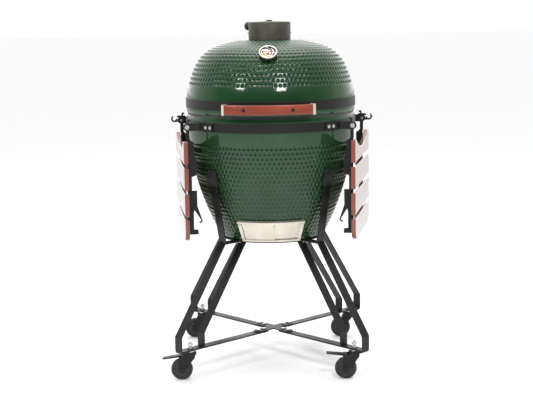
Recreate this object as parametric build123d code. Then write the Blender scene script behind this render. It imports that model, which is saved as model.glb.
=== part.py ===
from build123d import *
import math
import os

# Kamado ceramic grill on a four-legged rolling cart with two folding side shelves.
# Units are millimetres. Z is up, the front is -Y, and the origin lies on the floor
# under the vertical axis of the ceramic body. Every size is set once below.

# ---- general fits -------------------------------------------------------------
RUN = 0.06            # radial running clearance of pins and shafts
GAP = 0.35            # clear gap between pieces that move past each other
SEAT = 0.1            # radial gap between a clamp band and the ceramic

# ---- ceramic body -------------------------------------------------------------
body_r = 298.5        # outer radius at the rim
rim_z = 900.0         # height of the pot's rim
pot_base_z = 462.0    # underside of the pot
pot_curve = 900.0     # radius of the pot's side, tangent to the vertical at the rim
pot_wall = 24.0
pot_floor = 28.0
felt_t = 3.0          # one felt gasket
felt_w = 16.0
dome_h = 251.0        # rim to crown
dome_wall = 20.0
crown_r = 70.0        # flat of the crown under the vent tower
flue_r = 52.0         # hole in the crown
# control points of the dome's side, as (share of radius, share of height)
dome_side = ((0.958, 0.445), (0.878, 0.680), (0.710, 0.875), (0.476, 0.968))
dome_straight = 0.20  # share of the height that rises straight from the rim

# ---- bands, handle and hinge --------------------------------------------------
band_t = 3.0
lid_band_low = 18.0   # lid rim to the lower edge of the lid band
lid_band_h = 32.0
pot_band_low = 49.0   # pot rim down to the lower edge of the pot band
pot_band_h = 31.0
handle_gap = 28.0     # finger room between lid band and handle
handle_t = 22.0
handle_h = 33.0
handle_half_deg = 25.0
handle_cap_len = 9.0
handle_screw_deg = 13.5
handle_arm_half_h = 9.0
handle_arm_deg = 1.2   # thickness of each end arm, as an angle
handle_recess = 4.0    # depth of the screw recesses
handle_screw_r = 3.0
handle_post_r = 6.5
knuckle_r = 14.0
hinge_pin_r = 5.0
hinge_drop = 3.0      # hinge axis above the pot rim
cheek_t = 4.0
cheek_x = 62.0        # outer face of the lid's cheeks
spring_r = 11.0
spring_wall = 4.0
spring_len = 44.0
hinge_flange_deg = 15.0

# ---- vent tower ---------------------------------------------------------------
tower_r = 74.5
tower_h = 56.0
tower_wall = 8.5
tower_deck = 4.0
tower_foot = 5.0
tower_collar = 4.0     # wall of the collar that centres the tower in the flue
disc_t = 4.0
disc_crown = 2.5
petals = 5
petal_r = 13.0
petal_pitch_r = 36.0
pivot_r = 4.0
pivot_head_r = 11.0
pivot_head_h = 5.0
knob_r = 15.5
knob_deg = 146.0
knob_arm_w = 12.0
clamp_screw_r = 2.5
clamp_screw_out = 4.0

# ---- temperature gauge --------------------------------------------------------
gauge_share = 0.80    # distance from the axis as a share of the dome's radius
gauge_r = 30.0
gauge_depth = 15.0
gauge_rim = 3.5
gauge_lift = 5.0       # neck between the dome and the cup
gauge_neck_r = 9.0
dial_sink = 8.0        # dial's underside below the cup's rim
dial_t = 1.0
lens_t = 2.0
spindle_r = 1.2
pointer_rest = 120.0   # drawn angle of the pointer
gauge_tilt = 50.0     # direction of the dial above the horizontal
probe_r = 3.0
probe_len = 105.0
pointer_len = 21.0

# ---- inside -------------------------------------------------------------------
firebox_top_z = 760.0
firebox_top_r = 252.0
firebox_foot_r = 166.0
firebox_wall = 18.0
ledge_z = 548.0       # seat of the charcoal grate
ledge_w = 24.0
fire_ring_h = 88.0
fire_ring_r = 261.0
fire_ring_wall = 21.0
char_grate_t = 8.0
cook_bar = 4.0
cook_grate_h = 6.0
cook_pitch = 18.0

# ---- draft door ---------------------------------------------------------------
draft_half_deg = 30.0
draft_low_z = 469.0
draft_high_z = 542.0
draft_depth = 13.0    # how far the frame stands off the pot
draft_sheet = 2.0
draft_rim = 4.0
draft_lip = 6.0
draft_post_deg = 3.4    # solid post at each end of the frame, for the screws
window = (-24.0, -2.0)         # angular window in the pot and the frame, degrees
window_low = 14.0              # window edges inside the frame, along the slope
window_high = 17.0
door_deg = (-26.0, 3.5)
screen_deg = (-26.0, 1.0)
mesh_bar = 1.2
mesh_pitch_deg = 3.0

# ---- side shelves -------------------------------------------------------------
shelf_turn = 9.0      # each shelf is turned this far towards the front
pivot_u = 311.0       # fold axis from the kettle's axis
pivot_z = 866.0
shelf_face_u = 328.0
slat_t = 15.0
slat_h = 76.0
slat_gap = 13.5
slat_count = 4
slat_len = 437.0
slat_top_z = 821.0
notch_depth = 38.0
notch_half = 178.0
corner_r = 46.0
arm_t = 4.0
arm_v = 150.0         # arms each side of the shelf's middle
arm_w = 24.0
eye_r = 12.0
ear_t = 4.0
ear_h = 26.0
pin_r = 5.0
slat_screw_r = 2.5
flange_deg = 13.0

# ---- cart ---------------------------------------------------------------------
strip_w = 32.0
strip_t = 5.0
upright_top = (286.5, 712.0)   # radius and height of the upright's upper end
knee = (240.0, 459.5)          # bend under the pot
foot_r_out = 451.0
foot_bend_z = 157.0
foot_r_in = 349.0
link_r_in = 132.0
ring_r_in = 150.0
ring_r_out = 188.0
ring_t = 4.5
brace_top_z = 108.0
brace_r_in = 42.0
plate_t = 4.0
plate_arm = 92.0
plate_bolts = (50.0, 76.0)     # bolt radii on the centre plate
link_bolts = (161.0, 178.0)
bolt_head_r = 7.0
bolt_head_h = 4.0
cap_w = 38.0
cap_t = 11.0
cap_h = 56.0

# ---- casters ------------------------------------------------------------------
wheel_r = 37.5
wheel_w = 24.0
trail = 30.0
stem_r = 5.0
stem_rise = 26.0       # stem above the brace bar
nut_r = 9.5
nut_h = 8.0
nut_gap = 4.0
race_r = 14.0
race_h = 6.0
foot_r = 9.0
fork_boss_r = 11.0
head_r = 21.0
head_h = 8.0
axle_r = 4.0
fork_t = 3.0
fork_gap = 2.5        # between wheel and fork plate
pedal_len = 64.0
pedal_w = 24.0
pedal_t = 4.0
pedal_press = 14.0
pedal_pin_r = 3.0

# ---- derived places -----------------------------------------------------------
lid_z = rim_z + 2 * felt_t + GAP
crown_z = lid_z + dome_h
band_r = body_r + SEAT
band_out = band_r + band_t
handle_in = band_out + handle_gap
handle_out = handle_in + handle_t
hinge_y = handle_out - knuckle_r
hinge_z = rim_z + hinge_drop
handle_z = lid_z + lid_band_low + lid_band_h / 2 - 8.0
tower_top = crown_z + tower_h
fire_floor_z = pot_base_z + pot_floor
ring_top_z = firebox_top_z + fire_ring_h
stem_r_pos = (foot_r_out + foot_r_in) / 2
brace_low_z = brace_top_z - strip_t
corner_deg = {"front_left": 225, "front_right": 315, "rear_left": 135, "rear_right": 45}


# ---- helpers ------------------------------------------------------------------
def face_of(*edges):
    """Planar face inside a closed chain of edges in the XZ plane."""
    return make_face(Curve() + list(edges))


def outline(*points):
    """Planar face inside a closed polygon of (radius, height) points."""
    return make_face(Polyline(*[(r, 0, z) for r, z in points], close=True))


def turned(face, start=0.0, sweep=360.0):
    """Revolve a face of the XZ plane, from an angle measured from the front."""
    return Rot(0, 0, start - 90) * revolve(face, Axis.Z, sweep)


def ring(r_in, r_out, z0, z1):
    return turned(outline((r_in, z0), (r_out, z0), (r_out, z1), (r_in, z1)))


def rod(start, end, radius):
    """Round bar between two points."""
    a = Vector(*start)
    b = Vector(*end)
    return extrude(Plane(origin=a, z_dir=b - a) * Circle(radius), (b - a).length)


def wall_r(z, inset=0.0):
    """Radius of the pot's side at a height, less an inset."""
    return body_r - pot_curve + math.sqrt(pot_curve ** 2 - (rim_z - z) ** 2) - inset


def wall_arc(z0, z1, inset=0.0):
    zm = (z0 + z1) / 2
    return ThreePointArc((wall_r(z0, inset), 0, z0), (wall_r(zm, inset), 0, zm), (wall_r(z1, inset), 0, z1))


def line(r0, z0, r1, z1):
    return Line((r0, 0, z0), (r1, 0, z1))


def write(name, shape):
    os.makedirs("parts", exist_ok=True)
    export_step(shape, f"parts/{name}.step")


def group(pieces):
    """Several separate solids as one node."""
    return Compound(children=[s for p in pieces for s in p.solids()])


def at_corner(shape, name):
    """Turn a piece made along +X to one corner of the cart."""
    return Rot(0, 0, corner_deg[name]) * shape


# ---- ceramic ------------------------------------------------------------------
def pot_shell():
    inner_floor = wall_r(fire_floor_z, pot_wall)
    edge = 6.0
    profile = face_of(
        wall_arc(rim_z, pot_base_z + edge),
        line(wall_r(pot_base_z + edge), pot_base_z + edge, wall_r(pot_base_z) - edge, pot_base_z),
        line(wall_r(pot_base_z) - edge, pot_base_z, 0, pot_base_z),
        line(0, pot_base_z, 0, fire_floor_z),
        line(0, fire_floor_z, inner_floor, fire_floor_z),
        wall_arc(fire_floor_z, rim_z, pot_wall),
        line(body_r - pot_wall, rim_z, body_r, rim_z),
    )
    return turned(profile) - window_cut(body_r)


def window_cut(r_out):
    """Sector that opens the draft window through a wall."""
    r_in = firebox_foot_r * 0.5
    low = draft_low_z + window_low
    high = draft_high_z - window_high
    low = max(low, fire_floor_z + 1)
    return turned(outline((r_in, low), (r_out, low), (r_out, high), (r_in, high)),
                  window[0], window[1] - window[0])


def dome_curve(r, h):
    """Side of the dome from its straight part to the flat of the crown."""
    z0 = lid_z + h * dome_straight
    scale = (h - h * dome_straight) / (dome_h * (1 - dome_straight))
    points = [(r, 0, z0)]
    for share_r, share_h in dome_side:
        rise = (share_h - dome_straight) * dome_h * scale
        points.append((share_r * r, 0, z0 + rise))
    points.append((crown_r, 0, lid_z + h))
    return Spline(*points, tangents=[(0, 0, 1), (-1, 0, 0.0)])


def dome_shell():
    r_in = body_r - dome_wall
    h_in = dome_h - dome_wall
    profile = face_of(
        line(body_r, lid_z, body_r, lid_z + dome_h * dome_straight),
        dome_curve(body_r, dome_h),
        line(crown_r, crown_z, flue_r, crown_z),
        line(flue_r, crown_z, flue_r, crown_z - dome_wall),
        line(flue_r, crown_z - dome_wall, crown_r, crown_z - dome_wall),
        dome_curve(r_in, h_in),
        line(r_in, lid_z + h_in * dome_straight, r_in, lid_z),
        line(r_in, lid_z, body_r, lid_z),
    )
    shell = turned(profile)
    return shell - gauge_plane() * Cylinder(probe_r + RUN, 3 * dome_wall)


def gaskets():
    r_mid = body_r - (pot_wall + dome_wall) / 4
    low = ring(r_mid - felt_w / 2, r_mid + felt_w / 2, rim_z, rim_z + felt_t)
    high = ring(r_mid - felt_w / 2, r_mid + felt_w / 2, lid_z - felt_t, lid_z)
    return low, high


# ---- inside -------------------------------------------------------------------
def firebox():
    mouth_r = firebox_top_r - firebox_wall
    slope = (firebox_top_r - firebox_foot_r) / (firebox_top_z - fire_floor_z)
    ledge_r = firebox_foot_r + slope * (ledge_z - fire_floor_z) - firebox_wall
    sole = fire_floor_z + firebox_wall
    bowl = turned(outline(
        (30, fire_floor_z), (firebox_foot_r, fire_floor_z), (firebox_top_r, firebox_top_z),
        (mouth_r, firebox_top_z), (ledge_r, ledge_z), (ledge_r - ledge_w, ledge_z),
        (ledge_r - ledge_w, sole), (30, sole)))
    return bowl - window_cut(body_r) - window_cut(body_r).rotate(Axis.Z, 180)


def fire_ring():
    body = ring(fire_ring_r - fire_ring_wall, fire_ring_r, firebox_top_z, ring_top_z)
    notch = Box(fire_ring_wall * 2, 26, 18)
    for k in range(3):
        place = Pos(fire_ring_r - fire_ring_wall / 2, 0, firebox_top_z + 9)
        body -= Rot(0, 0, 90 + 120 * k) * (place * notch)
    return body


def charcoal_grate():
    slope = (firebox_top_r - firebox_foot_r) / (firebox_top_z - fire_floor_z)
    r = firebox_foot_r + slope * (ledge_z - fire_floor_z) - firebox_wall - 4
    plate = Pos(0, 0, ledge_z + char_grate_t / 2) * Cylinder(r, char_grate_t)
    pitch = 26.0
    rows = int(r // pitch)
    for k in range(-rows + 1, rows):
        half = math.sqrt((r - 18) ** 2 - (k * pitch) ** 2)
        plate -= Pos(0, k * pitch, ledge_z) * Box(2 * half, 12, 4 * char_grate_t)
    spine = Pos(0, 0, ledge_z + char_grate_t / 2) * Box(14, 2 * r - 20, char_grate_t)
    return plate + spine


def cooking_grate():
    r = fire_ring_r - 4
    z0 = ring_top_z + GAP
    grate = ring(r - 6, r, z0, z0 + cook_grate_h)
    count = int((r - 12) // cook_pitch)
    for k in range(-count, count + 1):
        half = math.sqrt((r - 3) ** 2 - (k * cook_pitch) ** 2)
        grate += Pos(k * cook_pitch, 0, z0 + cook_grate_h / 2) * Box(cook_bar, 2 * half, cook_grate_h)
    for side in (-1, 1):
        half = math.sqrt((r - 3) ** 2 - (r / 2) ** 2)
        grate += Pos(0, side * r / 2, z0 + cook_grate_h / 4) * Box(2 * half, cook_bar, cook_grate_h / 2)
    return grate


# ---- bands --------------------------------------------------------------------
def lid_band():
    z0 = lid_z + lid_band_low
    return ring(band_r, band_out, z0, z0 + lid_band_h)


def pot_band():
    z0 = rim_z - pot_band_low
    return ring(band_r, band_out, z0, z0 + pot_band_h)


def handle_bar():
    half_h = handle_h / 2
    section = fillet(outline((handle_in, handle_z - half_h), (handle_out, handle_z - half_h),
                             (handle_out, handle_z + half_h), (handle_in, handle_z + half_h)).vertices(), 5)
    bar = turned(section, -handle_half_deg, 2 * handle_half_deg)
    for side in (-1, 1):
        bar -= Rot(0, 0, side * handle_screw_deg - 90) * (
            Pos(handle_out, 0, handle_z) * Rot(0, 90, 0) * Cylinder(handle_screw_r + 3.2, 2 * handle_recess))
        bar -= Rot(0, 0, side * handle_screw_deg - 90) * rod(
            (handle_in - 1, 0, handle_z), (handle_out, 0, handle_z), handle_screw_r)
    return bar


def handle_brackets():
    """End caps on the bar and the posts that hold it off the lid band."""
    cap_deg = math.degrees(handle_cap_len / handle_out)
    half_h = handle_h / 2 + 1.5
    pieces = []
    for side in (-1, 1):
        start = handle_half_deg if side > 0 else -handle_half_deg - cap_deg
        cap = turned(outline((handle_in - 2, handle_z - half_h), (handle_out + 1.0, handle_z - half_h),
                             (handle_out + 1.0, handle_z + half_h), (handle_in - 2, handle_z + half_h)),
                     start, cap_deg)
        mid = start + cap_deg / 2
        arm_low = handle_z - handle_arm_half_h
        arm_high = handle_z + handle_arm_half_h
        arm = turned(outline((band_out, arm_low), (handle_in + 4, arm_low),
                             (handle_in + 4, arm_high), (band_out, arm_high)),
                     mid - handle_arm_deg / 2, handle_arm_deg)
        pieces.append(cap + arm)
    return pieces


def handle_posts():
    """Stand-off posts between the lid band and the back of the bar, one at each screw."""
    pieces = []
    for side in (-1, 1):
        post = rod((band_out - 1, 0, handle_z), (handle_in - SEAT, 0, handle_z), handle_post_r)
        post -= Pos(0, 0, handle_z) * Cylinder(band_out, 60)
        post -= rod((handle_in - 12, 0, handle_z), (handle_in + 1, 0, handle_z), handle_screw_r)
        pieces.append(Rot(0, 0, side * handle_screw_deg - 90) * post)
    return pieces


def handle_screws():
    pieces = []
    for side in (-1, 1):
        shank = rod((handle_in - 12, 0, handle_z), (handle_out - handle_recess, 0, handle_z), handle_screw_r)
        root = (handle_out - handle_recess, 0, handle_z)
        crest = (handle_out - 1.5, 0, handle_z)
        head = rod(root, crest, handle_screw_r + 3)
        pieces.append(Rot(0, 0, side * handle_screw_deg - 90) * (shank + head))
    return pieces


def cheek(x0, z_low, z_high, hole_r):
    """Rear hinge cheek from a band to the hinge pin, in a plane of constant X."""
    plane = Plane.YZ.offset(x0)
    root = band_out - 14
    body = make_hull((Sketch() + Pos(hinge_y, hinge_z) * Circle(knuckle_r)
                      + Pos(root, (z_low + z_high) / 2) * Rectangle(6, z_high - z_low)).edges())
    plate = extrude(plane * (body - Pos(hinge_y, hinge_z) * Circle(hole_r)), cheek_t)
    return plate - Pos(0, 0, (z_low + z_high) / 2) * Cylinder(band_out, 200)


def hinge_upper():
    z0 = lid_z + lid_band_low
    z1 = z0 + lid_band_h
    pad = turned(outline((band_out, z0), (band_out + cheek_t, z0), (band_out + cheek_t, z1), (band_out, z1)),
                 180 - hinge_flange_deg, 2 * hinge_flange_deg)
    cheeks = cheek(cheek_x - cheek_t, z0, z1, hinge_pin_r + RUN) + cheek(-cheek_x, z0, z1, hinge_pin_r + RUN)
    return pad + cheeks


def hinge_lower():
    z0 = rim_z - pot_band_low
    z1 = z0 + pot_band_h
    outer = cheek_x + GAP
    pad = turned(outline((band_out, z0), (band_out + cheek_t, z0), (band_out + cheek_t, z1), (band_out, z1)),
                 180 - hinge_flange_deg, 2 * hinge_flange_deg)
    cheeks = cheek(outer, z0, z1, hinge_pin_r) + cheek(-outer - cheek_t, z0, z1, hinge_pin_r)
    return pad + cheeks


def hinge_pin():
    half = cheek_x + GAP + cheek_t
    pin = rod((-half, hinge_y, hinge_z), (half, hinge_y, hinge_z), hinge_pin_r)
    for side in (-1, 1):
        pin += rod((side * half, hinge_y, hinge_z), (side * (half + 4), hinge_y, hinge_z), hinge_pin_r + 3)
    return pin


def hinge_springs():
    """Two closely wound torsion springs, each as the tube its coils fill."""
    pieces = []
    for side in (-1, 1):
        x0 = side * 6
        x1 = side * (6 + spring_len)
        coil = rod((x0, hinge_y, hinge_z), (x1, hinge_y, hinge_z), spring_r)
        coil -= rod((x0 - side, hinge_y, hinge_z), (x1 + side, hinge_y, hinge_z), spring_r - spring_wall)
        pieces.append(coil)
    return pieces


# ---- vent ---------------------------------------------------------------------
def petal_cut(angle, z0, z1):
    cut = None
    for k in range(petals):
        petal = Pos(petal_pitch_r, 0, (z0 + z1) / 2) * Cylinder(petal_r, z1 - z0)
        hole = Rot(0, 0, angle + k * 360 / petals) * petal
        cut = hole if cut is None else cut + hole
    return cut


def vent_tower():
    inner = tower_r - tower_wall
    tube = ring(inner, tower_r, crown_z, tower_top)
    foot = ring(flue_r, tower_r, crown_z, crown_z + tower_foot)
    deck = ring(pivot_r, inner + 1, tower_top - tower_deck, tower_top)
    deck -= petal_cut(0, tower_top - 2 * tower_deck, tower_top + tower_deck)
    collar = ring(flue_r - tower_collar, flue_r - 0.5, crown_z - dome_wall + 2, crown_z + tower_foot)
    lap = ring(flue_r - tower_collar, flue_r + 2, crown_z, crown_z + tower_foot)
    tower = tube + foot + deck + collar + lap
    for angle, z in clamp_screw_places():
        tower -= clamp_screw(angle, z, 1)
    return tower


def vent_disc():
    z0 = tower_top + GAP
    z1 = z0 + disc_t
    top = z1 + disc_crown
    profile = face_of(
        line(pivot_r + RUN, z0, tower_r, z0),
        line(tower_r, z0, tower_r, z1),
        ThreePointArc((tower_r, 0, z1), (tower_r / 2, 0, z1 + 0.75 * disc_crown), (pivot_r + RUN, 0, top)),
        line(pivot_r + RUN, top, pivot_r + RUN, z0),
    )
    disc = turned(profile) - petal_cut(180 / petals, z0 - 1, top + 1)
    reach = tower_r + knob_r - 3
    arm = Pos((tower_r + reach) / 2 - 2, 0, z0 + disc_t / 2) * Box(reach - tower_r + 4, knob_arm_w, disc_t)
    return disc + Rot(0, 0, knob_deg) * arm


def vent_knob():
    z0 = tower_top + GAP
    centre = (tower_r + knob_r + 2, 0, z0 - 10)
    ball = Pos(*centre) * Sphere(knob_r)
    ball -= Pos(centre[0] - 2, 0, z0 + disc_t / 2) * Box(2 * knob_r, knob_arm_w + 0.2, disc_t)
    ball -= Pos(0, 0, z0) * Cylinder(tower_r + GAP, 100)
    return Rot(0, 0, knob_deg) * ball


def vent_pivot_screw():
    top = tower_top + GAP + disc_t + disc_crown + GAP
    shank = rod((0, 0, tower_top - 8), (0, 0, top + 1), pivot_r)
    head = Pos(0, 0, top + pivot_head_h / 2) * Cylinder(pivot_head_r, pivot_head_h)
    head = fillet(head.edges().sort_by(Axis.Z)[-1], 0.8 * pivot_head_h)
    nut = Pos(0, 0, tower_top - tower_deck - 3) * extrude(RegularPolygon(7, 6), 3)
    return shank + head + nut


def clamp_screw_places():
    return [(angle, crown_z + tower_h * 0.42) for angle in (2, 178, 90)]


def clamp_screw(angle, z, reach):
    return Rot(0, 0, angle) * rod((tower_r - tower_wall - 2, 0, z), (tower_r + reach, 0, z), clamp_screw_r)


def vent_clamp_screws():
    return [clamp_screw(angle, z, clamp_screw_out) for angle, z in clamp_screw_places()]


# ---- gauge --------------------------------------------------------------------
def dome_point(share):
    """Height of the dome's outside where its radius is a share of the largest one."""
    curve = dome_curve(body_r, dome_h)
    low, high = 0.0, 1.0
    for _ in range(40):
        mid = (low + high) / 2
        if (curve @ mid).X > share * body_r:
            low = mid
        else:
            high = mid
    return curve @ low


def gauge_plane(lift=0.0):
    """Plane of the gauge, with Z along its stem and away from the dome."""
    seat = dome_point(gauge_share)
    tilt = math.radians(gauge_tilt)
    out = Vector(0, -math.cos(tilt), math.sin(tilt))
    return Plane(origin=Vector(0, -seat.X, seat.Z) + out * lift, x_dir=(1, 0, 0), z_dir=out)


def gauge_housing():
    cup = Pos(0, 0, gauge_depth / 2 + gauge_lift) * Cylinder(gauge_r, gauge_depth)
    well = Cylinder(gauge_r - gauge_rim, dial_sink + 0.01)
    cup -= Pos(0, 0, gauge_depth + gauge_lift - dial_sink / 2) * well
    neck = Cylinder(gauge_neck_r, 2 * gauge_lift + 2)
    solid = gauge_plane() * (cup + neck - Cylinder(probe_r, 30))
    return solid - dome_solid()


def dome_solid():
    """The dome with nothing cut out of it, for trimming what sits on it."""
    profile = face_of(
        line(body_r, lid_z, body_r, lid_z + dome_h * dome_straight),
        dome_curve(body_r, dome_h),
        line(crown_r, crown_z, 0, crown_z),
        line(0, crown_z, 0, lid_z),
        line(0, lid_z, body_r, lid_z),
    )
    return turned(profile)


def dial_floor():
    """Height of the dial's underside along the gauge's axis."""
    return gauge_depth + gauge_lift - dial_sink


def gauge_dial():
    floor = dial_floor()
    dial = Pos(0, 0, floor + dial_t / 2) * Cylinder(gauge_r - gauge_rim - 0.2, dial_t)
    return gauge_plane() * (dial - Pos(0, 0, floor) * Cylinder(probe_r, 10))


def gauge_lens():
    top = gauge_depth + gauge_lift
    return gauge_plane() * (Pos(0, 0, top - lens_t / 2) * Cylinder(gauge_r - gauge_rim, lens_t))


def gauge_pointer():
    z0 = dial_floor() + dial_t + GAP
    hub = Pos(0, 0, z0 + 1.0) * (Cylinder(3.4, 2.0) - Cylinder(spindle_r + RUN, 4))
    hand = Pos(0, 0, z0) * extrude(make_face(Polyline(
        (-1.6, -6), (1.6, -6), (0.5, pointer_len), (-0.5, pointer_len), close=True)), 1.0)
    hand -= Pos(0, 0, z0) * Cylinder(3.0, 4)
    return gauge_plane() * (Rot(0, 0, pointer_rest) * (hub + hand))


def gauge_probe():
    """Stem through the dome with its spindle under the pointer and a nut inside."""
    floor = dial_floor()
    stem = rod((0, 0, -probe_len), (0, 0, floor), probe_r)
    spindle = rod((0, 0, floor), (0, 0, floor + 5), spindle_r)
    drilled = extrude(RegularPolygon(8, 6), 5) - Pos(0, 0, 2) * Cylinder(probe_r, 12)
    nut = Pos(0, 0, -dome_wall - 12) * drilled
    return gauge_plane() * (stem + spindle + nut)


# ---- draft door ---------------------------------------------------------------
def draft_slope():
    """Unit vectors along and out of the pot's side where the frame sits."""
    low = Vector(wall_r(draft_low_z), 0, draft_low_z)
    high = Vector(wall_r(draft_high_z), 0, draft_high_z)
    along = (high - low).normalized()
    return low, along, Vector(along.Z, 0, -along.X), (high - low).length


def draft_sheet_of(s0, s1, n0, n1, start, end):
    """Sector of a cone that follows the pot's side, between two offsets from it."""
    low, along, out, _ = draft_slope()
    corners = [low + along * s + out * n for s, n in ((s0, n0), (s1, n0), (s1, n1), (s0, n1))]
    return turned(outline(*[(c.X, c.Z) for c in corners]), start, end - start)


def draft_frame():
    """Channel-shaped frame: a back sheet with the window, and a lipped rail above and below."""
    low, along, out, length = draft_slope()
    inset = 1.3
    back = draft_depth - draft_lip
    lip = draft_rim + 3
    deep = draft_depth - draft_sheet
    section = [
        (0, inset), (0, draft_depth), (lip, draft_depth), (lip, deep), (draft_sheet, deep),
        (draft_sheet, back), (length - draft_sheet, back), (length - draft_sheet, deep),
        (length - lip, deep), (length - lip, draft_depth), (length, draft_depth), (length, inset),
        (length - draft_sheet, inset), (length - draft_sheet, back - draft_sheet),
        (draft_sheet, back - draft_sheet), (draft_sheet, inset),
    ]
    corners = [low + along * along_s + out * out_n for along_s, out_n in section]
    channel = turned(outline(*[(c.X, c.Z) for c in corners]), -draft_half_deg, 2 * draft_half_deg)
    channel -= draft_sheet_of(window_low, length - window_high, 0, 20, window[0], window[1])
    post_deg = draft_post_deg
    for edge in (-draft_half_deg, draft_half_deg - post_deg):
        channel += draft_sheet_of(lip - 1, length - lip + 1, back - 0.5, draft_depth - 0.2,
                                  edge + 0.1, edge + post_deg - 0.1)
    return channel


def draft_door():
    _, _, _, length = draft_slope()
    n0 = draft_depth - draft_lip + GAP
    n1 = draft_depth - draft_sheet - GAP
    edge = draft_sheet + GAP
    mid = (n0 + n1) / 2
    sheet = draft_sheet_of(edge, length - edge, mid - 0.8, mid + 0.8, door_deg[0], door_deg[1])
    rib = draft_sheet_of(draft_rim + 8, length - draft_rim - 8, mid + 0.8, draft_depth + 7,
                         door_deg[1] - 0.6, door_deg[1])
    return sheet + rib


def draft_screen():
    _, _, _, length = draft_slope()
    n0 = 2.0
    n1 = n0 + 1.6
    edge = draft_sheet + GAP
    border = draft_sheet_of(edge, length - edge, n0, n1, screen_deg[0], screen_deg[1])
    border -= draft_sheet_of(edge + 8, length - edge - 8, 0, 10, screen_deg[0] + 2, screen_deg[1] - 2)
    count = int((screen_deg[1] - screen_deg[0] - 4) / mesh_pitch_deg)
    for k in range(1, count + 1):
        at = screen_deg[0] + 2 + k * mesh_pitch_deg
        border += draft_sheet_of(edge, length - edge, n0, n1, at - 0.2, at + 0.2)
    rows = 5
    step = (length - 2 * edge - 16) / (rows + 1)
    for k in range(1, rows + 1):
        s = edge + 8 + k * step
        border += draft_sheet_of(s - mesh_bar / 2, s + mesh_bar / 2, n0, n1, screen_deg[0], screen_deg[1])
    return border


def draft_screws():
    low, along, out, length = draft_slope()
    pieces = []
    for s in (9, length - 9):
        for angle in (-draft_half_deg + 1.9, draft_half_deg - 1.9):
            a = low + along * s + out * draft_depth
            b = a + out * 2.2
            head = rod((a.X, 0, a.Z), (b.X, 0, b.Z), 3.6)
            pieces.append(Rot(0, 0, angle - 90) * head)
    return pieces


# ---- side shelves -------------------------------------------------------------
def place_shelf(shape, side):
    """Shelf pieces are made square to +X and then turned, and mirrored for the left."""
    turned_shape = Rot(0, 0, -shelf_turn) * shape
    return turned_shape if side == "right" else mirror(turned_shape, Plane.YZ)


def slats():
    inner = shelf_face_u - slat_t
    pieces = []
    for k in range(slat_count):
        top = slat_top_z - k * (slat_h + slat_gap)
        flat = Rectangle(slat_len, slat_h)
        if k == 0:
            sag = notch_depth
            radius = (notch_half ** 2 + sag ** 2) / (2 * sag)
            flat = flat - Pos(0, slat_h / 2 - sag + radius) * Circle(radius)
            flat = fillet(flat.vertices(), 4)
        elif k == slat_count - 1:
            lower = flat.vertices().sort_by(Axis.Y)[:2]
            flat = fillet(lower, corner_r)
        board = extrude(flat, slat_t)
        board = fillet(board.edges().filter_by(GeomType.LINE).filter_by(Axis.X), 2.0)
        pieces.append(Plane(origin=(inner, 0, top - slat_h / 2), x_dir=(0, 1, 0), z_dir=(1, 0, 0)) * board)
    return pieces


def arm_outline():
    """Laser-cut arm in the (distance, height) plane, up to the eye of the pivot."""
    back = shelf_face_u - slat_t
    body = back - arm_w
    deep = body - 8.0
    low = slat_top_z - slat_count * (slat_h + slat_gap) + slat_gap + 16
    top = slat_top_z - 3
    points = [
        (back, low), (back, top), (pivot_u + 4, top + 8), (pivot_u + 4, pivot_z),
        (pivot_u - 8, pivot_z), (pivot_u - 8, top + 8), (pivot_u - 14, top), (body, top - 3),
        (body, top - 42), (deep, top - 66), (deep, top - 118),
        (back - 15, top - 124), (back - 15, top - 172), (deep, top - 172), (deep, top - 226),
        (deep - 18, top - 280), (deep - 6, top - 288), (deep - 5, top - 283), (deep - 13, top - 277),
        (body + 2, top - 240), (body + 5, top - 250), (body + 5, low + 18), (deep - 2, low + 16),
        (deep - 2, low),
    ]
    return points


def arm(front):
    """One folding arm: a flat plate with an eye, a stop finger and, at the rear, a tool hook."""
    flat = make_face(Polyline(*arm_outline(), close=True))
    flat += Pos(pivot_u, pivot_z) * Circle(eye_r)
    finger = make_face(Polyline((pivot_u - 7, pivot_z), (pivot_u - 1, pivot_z), (pivot_u - 1, pivot_z + 22),
                                (pivot_u - 4, pivot_z + 28), (pivot_u - 12, pivot_z + 27),
                                (pivot_u - 12, pivot_z + 22), (pivot_u - 7, pivot_z + 20), close=True))
    flat += finger
    if not front:
        hook_r = 9.0
        centre = (pivot_u + eye_r + hook_r + 4, pivot_z + 5)
        curl = Pos(*centre) * (Circle(hook_r + 3) - Circle(hook_r - 3))
        curl -= Pos(centre[0] - hook_r, centre[1] + hook_r) * Rectangle(3 * hook_r, 2 * hook_r)
        stalk = Pos((pivot_u + centre[0]) / 2, centre[1] - hook_r) * Rectangle(centre[0] - pivot_u, 6)
        flat += curl + stalk
        flat += Pos(pivot_u, pivot_z + 13) * Rectangle(30, 7)
    flat -= Pos(pivot_u, pivot_z) * Circle(pin_r + RUN)
    plate = extrude(Plane.XZ * flat, arm_t / 2, both=True)
    inner = shelf_face_u - slat_t
    tab_w = 14.0
    for k in range(slat_count):
        z = slat_top_z - k * (slat_h + slat_gap) - slat_h / 2
        shift = (arm_t + tab_w) / 2 * (1 if front else -1)
        plate += Pos(inner - 1.5, shift, z - (6 if k == 0 else 0)) * Box(3, tab_w, 30)
    v = -arm_v if front else arm_v
    return Pos(0, v, 0) * plate


def slat_screws():
    inner = shelf_face_u - slat_t
    pieces = []
    for v, toward in ((-arm_v, 1), (arm_v, -1)):
        for k in range(slat_count):
            z = slat_top_z - k * (slat_h + slat_gap) - slat_h / 2 - (6 if k == 0 else 0)
            y = v + toward * (arm_t / 2 + 7)
            pieces.append(rod((inner - 5.2, y, z), (inner - 3, y, z), slat_screw_r + 2))
    return pieces


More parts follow.
